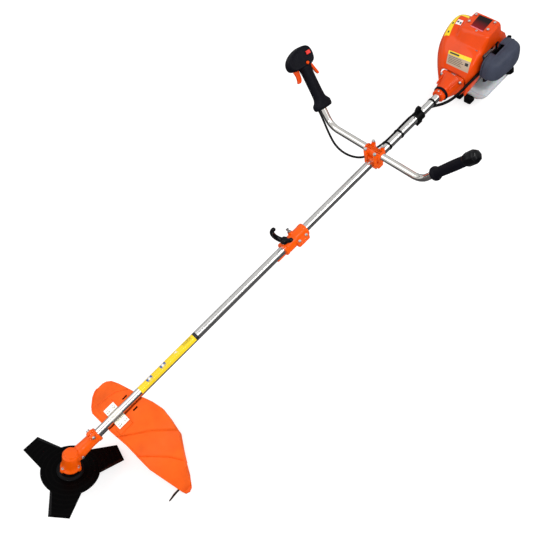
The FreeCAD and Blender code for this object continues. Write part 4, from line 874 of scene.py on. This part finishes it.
# Each edge is a chain of (y, x), and each crease one of (x, y).
GUARD_FRONT = [(-262, 162), (-259, 153), (-248, 149), (-205, 139.5), (-165, 131), (-80, 131.5), (-18, 126),
               (62, 122.5), (84, 131), (110, 151), (121, 164), (124, 172)]
GUARD_REAR = [(-262, 164), (-259, 173), (-240, 186), (-191, 222), (-150, 254), (-110, 263), (-75, 267),
              (-45, 261), (-18, 252), (36, 240), (80, 229), (106, 220), (119, 209), (124, 198)]
GUARD_RADIUS, GUARD_TOP, GUARD_SKIRT, GUARD_LOWEST = 320.0, -3.0, 26.0, -126.0
GUARD_STEP, FAR_STEP, CREASE_DEPTH, LIP_RISE = 4.6, 2.8, 1.8, 2.2
GUARD_SLOT = ((208, 224), (22, 27))
CLAMP_SEAT = ((140, 186), (18, 50))
CRADLE_RADIUS = 16.5
CREASES = [[(150, -60), (205, -98), (262, -150)], [(130, -118), (190, -176), (222, -222)],
           [(150, 72), (205, 62), (245, 34)]]


def edge_at(chain, y):
    """Where an edge of the guard lies at a place across it."""
    for (y0, x0), (y1, x1) in zip(chain, chain[1:]):
        if y0 <= y <= y1:
            return x0 + (x1 - x0) * (y - y0) / (y1 - y0)
    return chain[-1][1] if y > chain[-1][0] else chain[0][1]


def side_of(crease, x, y):
    """Signed distance from a crease, over its nearest stretch."""
    best = None
    for (x0, y0), (x1, y1) in zip(crease, crease[1:]):
        run = Vector((x1 - x0, y1 - y0))
        t = max(0.0, min(1.0, Vector((x - x0, y - y0)).dot(run) / run.length_squared))
        gap = Vector((x - x0 - t * run.x, y - y0 - t * run.y))
        side = run.x * gap.y - run.y * gap.x
        if best is None or gap.length < abs(best):
            best = math.copysign(gap.length, side)
    return best


def guard_height(x, y):
    """An arched sheet with a groove at each crease, a raised front lip and a cradle for the tube."""
    z = GUARD_TOP - (GUARD_RADIUS - math.sqrt(GUARD_RADIUS ** 2 - y * y))
    inner, outer, far = (side_of(crease, x, y) for crease in CREASES)
    z -= GUARD_STEP * smoothstep(-1.2, 1.2, -inner) * smoothstep(-1.5, 1.5, outer)
    z -= FAR_STEP * smoothstep(-1.2, 1.2, far)
    z -= sum(CREASE_DEPTH * (1 - smoothstep(0.8, 2.4, abs(gap))) for gap in (inner, outer, far))
    z += LIP_RISE * (1 - smoothstep(4.0, 6.0, x - edge_at(GUARD_FRONT, y)))
    if abs(y) < CRADLE_RADIUS:
        z = min(z, -math.sqrt(CRADLE_RADIUS ** 2 - y * y) - 0.4)
    if in_window(x, abs(y), CLAMP_SEAT):
        z = max(z, GUARD_TOP - 0.6)
    return z


def guard():
    """A thin sheet that dips over the tube, with a turned-down lip, skirt and ends."""
    across, along = 280, 92
    first, last = GUARD_FRONT[0][0], GUARD_FRONT[-1][0]
    rows = []
    for j in range(across + 1):
        y = first + (last - first) * j / across
        x0, x1 = edge_at(GUARD_FRONT, y), edge_at(GUARD_REAR, y)
        lip = guard_height(x0 + 1, y)
        row = [(x0 - 0.2, y, lip - 7), (x0 - 0.2, y, lip - 3.5), (x0 + 0.8, y, lip - 1.0)]
        for i in range(along + 1):
            x = x0 + (x1 - x0) * i / along
            row.append((x, y, guard_height(x, y)))
        edge = guard_height(x1, y)
        deep = GUARD_SKIRT * smoothstep(146, 166, x1)
        for share, out in ((0.06, 0.9), (0.16, 1.4), (0.5, 1.8), (0.93, 2.2), (1.0, 1.9)):
            row.append((x1 + out, y, edge - deep * share))
        rows.append(row)
    low, high = ([(x, y + out, z - 6 if x < 160 else z - 10) for x, y, z in row]
                 for row, out in ((rows[0], -0.8), (rows[-1], 0.8)))
    loops = [[(x, y, max(z, GUARD_LOWEST)) for x, y, z in row] for row in [low] + rows + [high]]
    shell = lofted("guard_body", loops, SHAFT, orange_guard, "guard_shell", closed=False, caps=False,
                   sharp=34, keep=lambda x, y, z: not in_window(x, abs(y), GUARD_SLOT))
    thickened(shell, 2.6, even=False)
    # Black plates under the two slots are painted shade: they make the slots look dark inside instead of
    # showing the floor.
    for side, word in SIDES:
        low_y, high_y = sorted((side * 19, side * 30))
        slot_shade = plate("guard_slot_shade_" + word, rectangle(204, 228, low_y, high_y, 3), -11, -9.4, SHAFT,
                        black_plastic, "guard_shell", instead=False)
        bevel(slot_shade, 0.4, 2)


# ---------------- gear head

def gear_head():
    shell = [(-26, 17), (-26, 26.5), (-24.8, 27.4), (-21.5, 27.4), (-20, 26.2), (-16, 23.6), (-8, 22.4),
             (8, 22.2), (24, 22.6), (27.5, 22.2), (29, 20.4), (29.6, 19.2), (31, 18.8), (34.2, 18.4),
             (35.6, 17.2), (36, 15.4), (36, 5), (36.3, 4), (36.3, 0.01)]
    turned("gear_case_body", shell, HEAD, head_coat, "gear_case", sharp=50)
    lug = [(-26, 0.01), (-26, 7.4), (-19, 7.2), (-17.4, 5.8), (-17.2, 0.01)]
    head = [(-17.2, 0.01), (-17.2, 4.4), (-13.8, 4.3), (-13.2, 3.6), (-13.2, 2.1), (-15.4, 2.0),
            (-15.4, 0.01)]
    for k in (60, 180, 300):
        place = HEAD @ Matrix.Translation((24 * math.cos(math.radians(k)), 24 * math.sin(math.radians(k)), 0))
        turned("gear_lug_%d" % k, lug, place, head_coat, "gear_case", count=36, instead=False)
        turned("gear_screw_%d" % k, head, place, bright_steel, "gear_case", count=30, instead=False)


def gear_neck():
    """The neck that takes the tube, with a swelling over its pinch and two clamp lugs."""
    loops = []
    for x, radius in ((8, 17.5), (22, 19.5), (38, 19.4), (52, 18.2), (70, 17.6), (88, 18.2), (91, 19.4),
                      (92, 20.0), (98.6, 20), (100, 19)):
        swell = 4.5 * smoothstep(70, 78, x) * smoothstep(-99, -94, -x)
        ring = circle(lambda angle: radius + swell * max(0.0, math.sin(angle)) ** 6, 72)
        loops.append([(x, y, z) for y, z in ring])
    lofted("gear_case_neck", loops, SHAFT, head_coat, "gear_case", instead=False, sharp=40)
    outline = rectangle(76, 97, 14, 27, 5)
    for side, word in SIDES:
        loops = [[(x, side * y, z) for x, z in outline] for y in (1.2, 10.8)]
        lug = lofted("clamp_lug_" + word, loops, SHAFT, head_coat, "gear_case", instead=False, sharp=40)
        bevel(lug, 1.6)


def gear_case_screws():
    bolt("clamp_lug_bolt", (86, -10.8, 21.5), (0, -1, 0), 4.8, 4.6, "gear_case")
    bolt("grease_plug", (30, -21.5, 4), (0.2, -1, 0.1), 5.2, 3.4, "gear_case", sides=6)


# ---------------- coupler

KNOB_X, PIN_X, PIN_TILT = 856.0, 893, math.radians(42)


def coupler_sleeve():
    profile = [(842, 13.2), (842, 21), (843, 22), (850, 22), (851.5, 20.4), (855, 20), (924, 20), (927, 20.6),
               (929, 21.5), (936, 21.5), (937, 20.6), (937, 13.2)]
    loops = []
    for x, radius in profile:
        flat = 1.6 if 852 < x < 928 else 0
        ring = circle(lambda angle: radius + flat * smoothstep(0.80, 1.0, abs(math.cos(angle))), 96)
        loops.append([(x, y, z) for y, z in ring])
    lofted("coupler_sleeve", loops, SHAFT, head_coat, "coupler_body", caps=False, sharp=45)


def coupler_tongue():
    """The lip under the lower tube, bent to the tube's round."""
    loops = []
    for x, half_angle in ((807, 42), (809, 50), (826, 50), (842, 50)):
        inner, outer = ([(x, radius * math.cos(math.radians(-90 + half_angle * k / 10)),
                          radius * math.sin(math.radians(-90 + half_angle * k / 10))) for k in range(-10, 11)]
                        for radius in (13.4, 17))
        loops.append(inner + outer[::-1])
    lofted("coupler_tongue", loops, SHAFT, head_coat, "coupler_body", instead=False, sharp=50)


def coupler_lugs():
    """The two lugs that pinch the upper tube, and the round boss under the knob."""
    outline = rectangle(882, 930, -31, -14, 6)
    for side, word in ((-1, "low"), (1, "top")):
        low, high = sorted((side * 1.0, side * 10))
        lug = plate("coupler_lug_" + word, outline, low, high, SHAFT, head_coat, "coupler_body",
                    instead=False)
        bevel(lug, 1.8)
    boss = [(18, 0.01), (18, 11.5), (21, 10.4), (25.4, 10), (26, 9.2), (26, 0.01)]
    turned("knob_boss", boss, upright(KNOB_X), head_coat, "coupler_body", count=48, instead=False)


def lock_pin_boss():
    place = axis_frame((PIN_X, 0, 0), (0, math.sin(PIN_TILT), math.cos(PIN_TILT)))
    boss = [(16, 0.01), (16, 9.6), (19, 8.2), (25.2, 7.6), (26, 6.8), (26, 3.1), (20, 3.1)]
    turned("pin_boss", boss, place, head_coat, "coupler_body", count=48, instead=False)


def wing_knob():
    """A hub with eight flats and two upswept horns."""
    place = upright(KNOB_X) @ Matrix.Rotation(math.radians(116), 4, "Z")
    hub = ((26.4, 8), (26.6, 10.4), (29, 12), (34, 13.4), (37, 13.8), (40, 12.6), (43, 10), (44.6, 6),
           (45, 2))
    loops = [[(x, y, z) for x, y in faceted(radius, 8, 64, 0.5)] for z, radius in hub]
    lofted("knob_hub", loops, place, black_gloss, "coupler_knob", sharp=40)
    for side, name, sweep, reach in ((-1, "b", 52, 30.5), (1, "a", 138, 32.0)):
        loops = []
        for k in range(25):
            share = k / 24
            end = share in (0, 1)
            thick = (8.6 - 3.0 * share) * (0.55 if end else 1)
            wide = (7.4 - 2.0 * share) * (0.6 if end else 1)
            angle = math.radians(-84 + sweep * share)
            outward = Vector((side * math.cos(angle), 0, math.sin(angle)))
            middle = Vector((0, 0, 67)) + outward * reach
            loops.append([tuple(middle + outward * x + Vector((0, y, 0)))
                          for x, y in oval(thick, thick, wide, 2.8, 24)])
        lofted("knob_horn_" + name, loops, place, black_gloss, "coupler_knob", instead=False, sharp=60)


# ---------------- handle clamp

CLAMP_X, CLAMP_SCREW_X, CLAMP_SCREW_Y = 1264.7, 19.0, 18.5


def clamp_part(part, suffix, outline, low, high, edge, instead=False):
    """One plate of the clamp with rounded edges."""
    piece = plate("clamp_%s_%s" % (part, suffix), outline, low, high, SHAFT, head_coat,
                  "handle_clamp_" + part, instead=instead, sharp=35)
    return bevel(piece, edge, 4, 50)


def clamp_saddle(axis_height, radius, base, reach):
    """The cap's rounded back, which lies along the bar."""
    loops = []
    for y, inset in ((-reach, 3.0), (-reach + 0.8, 1.0), (-reach + 3, 0), (reach - 3, 0), (reach - 0.8, 1.0),
                     (reach, 3.0)):
        bend = radius - inset
        ring = [(CLAMP_X + bend * math.cos(a), y, axis_height + bend * math.sin(a) * 0.94)
                for a in (math.radians(-8 + 7 * k) for k in range(29))]
        loops.append(ring + [(CLAMP_X - bend, y, base), (CLAMP_X + bend, y, base)])
    lofted("clamp_cap_back", loops, SHAFT, head_coat, "handle_clamp_cap", sharp=50)


def clamp_columns(side, word):
    """The bosses under the screws' heads and the columns that the screws pass through."""
    cap = [(42, 0.01), (42, 6.6), (43.6, 6.3), (50.2, 5.9), (51.4, 5.2), (51.4, 0.01)]
    middle = [(8, 0.01), (8, 5.8), (16, 4.9), (23, 5.8), (23, 0.01)]
    for end, end_word in ((-1, "front"), (1, "rear")):
        at = upright(CLAMP_X + end * CLAMP_SCREW_X, side * CLAMP_SCREW_Y)
        tag = "%s_%s" % (end_word, word)
        turned("clamp_cap_boss_" + tag, cap, at, head_coat, "handle_clamp_cap", count=40, instead=False)
        turned("clamp_middle_column_" + tag, middle, at, head_coat, "handle_clamp_middle", count=40,
               instead=False)


def handle_clamp():
    """Cap, middle and lower casting, each with an arm on either side that joins its two screws."""
    x = CLAMP_X
    clamp_saddle(34, 15.5, 34.8, 33)
    for i, high in enumerate((49.4, 50.6, 49.4)):
        rib_x = x + 5.5 * (i - 1)
        clamp_part("cap", "rib_%d" % i, rectangle(rib_x - 1.1, rib_x + 1.1, -28, 28, 1), 44, high, 0.8)
    clamp_part("middle", "core", rectangle(x - 13, x + 13, -30, 30, 6), 14, 33.3, 2, instead=True)
    clamp_part("middle", "base", rectangle(x - 20, x + 20, -16, 16, 6), 0.5, 22, 3)
    clamp_part("lower", "core", rectangle(x - 22, x + 22, -17.5, 17.5, 6), -20.5, -1, 6, instead=True)
    for side, word in SIDES:
        y = side * CLAMP_SCREW_Y
        arm = rectangle(x - CLAMP_SCREW_X - 6.6, x + CLAMP_SCREW_X + 6.6, y - 6.6, y + 6.6, 6.4, 9)
        clamp_part("cap", "arm_" + word, arm, 34.6, 43.5, 2.4)
        clamp_part("middle", "arm_" + word, arm, 22, 33.3, 2.4)
        clamp_part("middle", "foot_" + word, arm, 0.5, 9, 2.4)
        clamp_part("lower", "arm_" + word, arm, -9, -1, 2.4)
        clamp_part("lower", "lug_" + word, rectangle(x - 12, x + 12, y - 5, y + 5, 4), -24.5, -8, 2.2)
        clamp_columns(side, word)


# ---------------- throttle cable and starter rope

CABLE_ROUTE = [
    (1766, -65.3, 34), (1734, -65.5, 35), (1698, -64, 31), (1655, -57, 20), (1622, -50, 5), (1598, -38, -11),
    (1574, -20, -22), (1545, -1, -17), (1512, 13, -17), (1476, 24, -10), (1430, 20, -2), (1383, 17, 0),
    (1328, 17, 0.5), (1296, 29, -5), (1264, 33, -13), (1238, 53, -8), (1220, 86, 6), (1221, 126, 18),
    (1236, 164, 34),
]
CABLE_END = [(16, 0, 38), (16, 0, 63.5)]
CABLE_RADIUS, CABLE_SLEEVE = 3.5, 1.3
SLEEVE_START = (0.60, 0.70)  # metres along the scene's X
ROPE_START, ROPE_END, ROPE_RADIUS = (1830, 31, -25), (1830, 49.5, -25), 1.8


def spline_points(points):
    """Points read from a smooth line through a route."""
    curve = bpy.data.curves.new("route", "CURVE")
    curve.dimensions = "3D"
    spline = curve.splines.new("NURBS")
    spline.points.add(len(points) - 1)
    for point, place in zip(spline.points, points):
        point.co = (*place, 1)
    spline.order_u = 3
    spline.use_endpoint_u = True
    spline.resolution_u = 10
    holder = bpy.data.objects.new("route", curve)
    mesh = bpy.data.meshes.new_from_object(holder)
    found = [vertex.co.copy() for vertex in mesh.vertices]
    bpy.data.objects.remove(holder)
    return found


def swept(name, rings, material, node):
    """A soft tube through rings of points, from the engine's body to another."""
    mesh = bpy.data.meshes.new(name)
    mesh.from_pydata([corner for ring in rings for corner in ring], [], bands(len(rings), len(rings[0])))
    mesh.shade_smooth()
    mesh.materials.append(material)
    obj = linked(name, mesh)
    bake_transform(obj)
    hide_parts(node)


def throttle_cable():
    """The sheath wears a thicker sleeve from the handle clamp to the engine."""
    points = [SHAFT @ Vector(place) for place in CABLE_ROUTE]
    points += [THROTTLE_ARM @ Vector(place) for place in CABLE_END]
    line = spline_points(points)
    across = Vector((0, 0, 1))
    rings = []
    for i, here in enumerate(line):
        along = (line[min(i + 1, len(line) - 1)] - line[max(i - 1, 0)]).normalized()
        across = (across - along * across.dot(along)).normalized()
        beside = along.cross(across)
        radius = CABLE_RADIUS + CABLE_SLEEVE * smoothstep(*SLEEVE_START, here.x)
        rings.append([here + (across * x + beside * y) * MM for x, y in circle(radius, 20)])
    swept("throttle_sheath", rings, black_cable, "throttle_cable")


def starter_rope():
    """The rope between the housing and its handle."""
    first, last = SHAFT @ Vector(ROPE_START), SHAFT @ Vector(ROPE_END)
    rings = []
    for i in range(25):
        lay = 2 * math.pi * i / 12
        strands = circle(lambda angle: ROPE_RADIUS * MM * (0.93 + 0.07 * math.cos(4 * angle + lay)), 16)
        rings.append([first.lerp(last, i / 24) + Vector((x, 0, z)) for x, z in strands])
    swept("starter_cord", rings, rope_weave, "starter_rope")


# ---------------- labels on the tube

TUBE_RADIUS = 13.0


def tube_patch(name, x0, x1, start, end, lift, material, node):
    """A patch wrapped on the tube between two places along it and two angles about it."""
    radius = TUBE_RADIUS + lift
    loops = []
    for k in range(25):
        angle = math.radians(start + (end - start) * k / 24)
        y, z = radius * math.cos(angle), radius * math.sin(angle)
        loops.append([(x0 + (x1 - x0) * i / 8, y, z) for i in range(9)])
    return lofted(name, loops, SHAFT, material, node, closed=False, caps=False, instead=False, sharp=180)


def tube_spot(name, x, angle, radius, material, node, lift, corners=28, start=0.0):
    """A round or many-sided spot wrapped on the tube."""
    turns = [start + 2 * math.pi * k / corners for k in range(corners)]
    points = [(x, angle)]
    for reach in (radius / 2, radius):
        points += [(x + reach * math.cos(turn), angle + math.degrees(reach * math.sin(turn) / TUBE_RADIUS))
                   for turn in turns]
    height = TUBE_RADIUS + lift
    points = [(px, height * math.cos(math.radians(pa)), height * math.sin(math.radians(pa)))
              for px, pa in points]
    faces = []
    for k in range(corners):
        n = (k + 1) % corners
        faces.append((0, 1 + k, 1 + n))
        faces.append((1 + k, 1 + corners + k, 1 + corners + n, 1 + n))
    return build(name, points, faces, SHAFT, material, node, instead=False, sharp=180)


def tube_labels():
    node = "lower_tube"
    tube_patch("tube_label", 259, 480, 15, 165, 0.12, yellow_film, node)
    tube_patch("tube_label_edge", 470, 480, 15, 165, 0.16, ink_film, node)
    for i, x in enumerate((300, 352)):
        tube_spot("label_disc_%d" % i, x, 76, 10.5, blue_film, node, 0.2)
        tube_spot("label_mark_%d" % i, x, 76, 6.0, white_film, node, 0.28, 6, 0.5)
    tube_spot("label_plate", 405, 76, 12.5, ink_film, node, 0.2, 3, math.pi)
    tube_spot("label_plate_face", 405, 76, 9.5, white_film, node, 0.28, 3, math.pi)
    for i in range(4):
        angle = 60 + 11 * i
        tube_patch("label_line_%d" % i, 430, 462, angle, angle + 3, 0.2, ink_film, node)


# ---------------- blade

def blade_marks():
    """The ground bevels on the three teeth, and the stepped flange above the blade."""
    for k in (0, 120, 240):
        outline = []
        for radius, angle in ((84, 197.6), (146, 214.8), (141, 217.0), (82, 201.4)):
            a = math.radians(angle + k)
            outline.append((radius * math.cos(a), radius * math.sin(a)))
        plate("tooth_bevel_%d" % k, outline, -42.0, -41.75, HEAD, ground_steel, "cutting_blade",
              instead=False)
    flange = [(-28.4, 11), (-33, 11.2), (-34.6, 20), (-35.2, 22), (-37.0, 23), (-37.6, 30), (-38.4, 31.5),
              (-39.2, 36), (-40.2, 37), (-42, 37), (-42, 20), (-30, 8), (-28.4, 8)]
    turned("blade_flange", flange, HEAD, black_enamel, "inner_flange", sharp=30)


# ---------------- make the object

finish_cad_nodes()
cover_tree = engine_cover()
panel_stickers(cover_tree)
shoulder_stickers(cover_tree)
rating_label(cover_tree)
filter_cover()
tank()
tank_cap()
clutch_cone()
grip_sleeve()
grip_head()
switch_surrounds()
grip_screws()
grip_controls()
right_handle()
guard()
gear_head()
gear_neck()
gear_case_screws()
coupler_sleeve()
coupler_tongue()
coupler_lugs()
wing_knob()
lock_pin_boss()
handle_clamp()
throttle_cable()
starter_rope()
tube_labels()
blade_marks()


# ---------------- stage, light and camera

def board(name, size_x, size_y, material):
    """A flat sheet."""
    x, y = size_x / 2, size_y / 2
    mesh = bpy.data.meshes.new(name)
    mesh.from_pydata([(-x, -y, 0), (x, -y, 0), (x, y, 0), (-x, y, 0)], [], [(0, 1, 2, 3)])
    mesh.materials.append(material)
    sheet = linked(name, mesh)
    return sheet


def studio():
    """A plain pale floor under a white sky."""
    scene = bpy.context.scene
    scene.view_settings.view_transform = "Standard"
    scene.view_settings.look = "None"
    paper = Paint("studio_paper", Specular_IOR_Level=0.1, Emission_Color=(1, 1, 1, 1), Emission_Strength=0.64)
    paper.colours(paper.noise(1.2, 2), (0.49, 0.49, 0.49), (0.51, 0.51, 0.51))
    paper.roughness(paper.noise(3, 2), 0.85, 0.95)
    board("floor", 60.0, 60.0, paper.material)
    world = bpy.data.worlds.new("studio")
    scene.world = world
    world.use_nodes = True
    sky = world.node_tree.nodes["Background"]
    sky.inputs["Color"].default_value = (1, 1, 1, 1)
    sky.inputs["Strength"].default_value = 0.72


def dark_card(name, place, size_x, size_y, turn):
    """A black board that only shows as a dark streak in the bright tubes."""
    card = board(name, size_x, size_y, card_paper)
    card.location = place
    card.rotation_euler = turn
    card.visible_camera = False
    card.visible_diffuse = False
    card.visible_shadow = False
    card.visible_transmission = False


def soft_light(name, place, target, size_x, size_y, power):
    light = bpy.data.lights.new(name, "AREA")
    light.shape = "RECTANGLE"
    light.size, light.size_y = size_x, size_y
    light.energy = power
    obj = linked(name, light)
    obj.location = place
    obj.rotation_euler = (Vector(target) - Vector(place)).to_track_quat("-Z", "Y").to_euler()


# The camera's place from the shaft's origin in metres, and its axes, solved from the photograph's view.
CAMERA_PLACE = (0.275, -0.980, 1.766)
CAMERA_RIGHT = (0.690, -0.698, -0.194)
CAMERA_UP = (0.684, 0.540, 0.491)
CAMERA_BACK = (-0.238, -0.471, 0.849)
FOCAL_SHARE = 699.4 / 533.0


def camera():
    data = bpy.data.cameras.new("camera")
    data.sensor_width = 36.0
    data.lens = data.sensor_width * FOCAL_SHARE
    obj = linked("camera", data)
    turn = Matrix((CAMERA_RIGHT, CAMERA_UP, CAMERA_BACK)).transposed().to_4x4()
    obj.matrix_world = Matrix.Translation(SHAFT_ORIGIN + Vector(CAMERA_PLACE)) @ turn
    bpy.context.scene.camera = obj


card_paper = matt("card_paper", (0.075, 0.075, 0.08), 0.8, 0.9)
studio()
camera()
soft_light("key_light", (-1.2, 1.6, 3.2), (0, 0, 0.1), 2.6, 2.6, 26)
soft_light("strip_light", (0.1, -1.28, 2.3), (0.1, 0, 0.13), 4.2, 0.14, 24)
soft_light("fill_light", (1.6, -2.2, 2.4), (0.2, 0, 0.1), 2.0, 2.0, 18)
dark_card("card_side", (0.0, 2.3, 1.15), 6.0, 0.25, (math.radians(80), 0, 0))
dark_card("card_front", (0.0, -2.3, 0.7), 6.0, 1.4, (math.radians(90), 0, 0))
dark_card("card_floor", (0.0, 0.0, 0.004), 6.0, 5.0, (0, 0, 0))
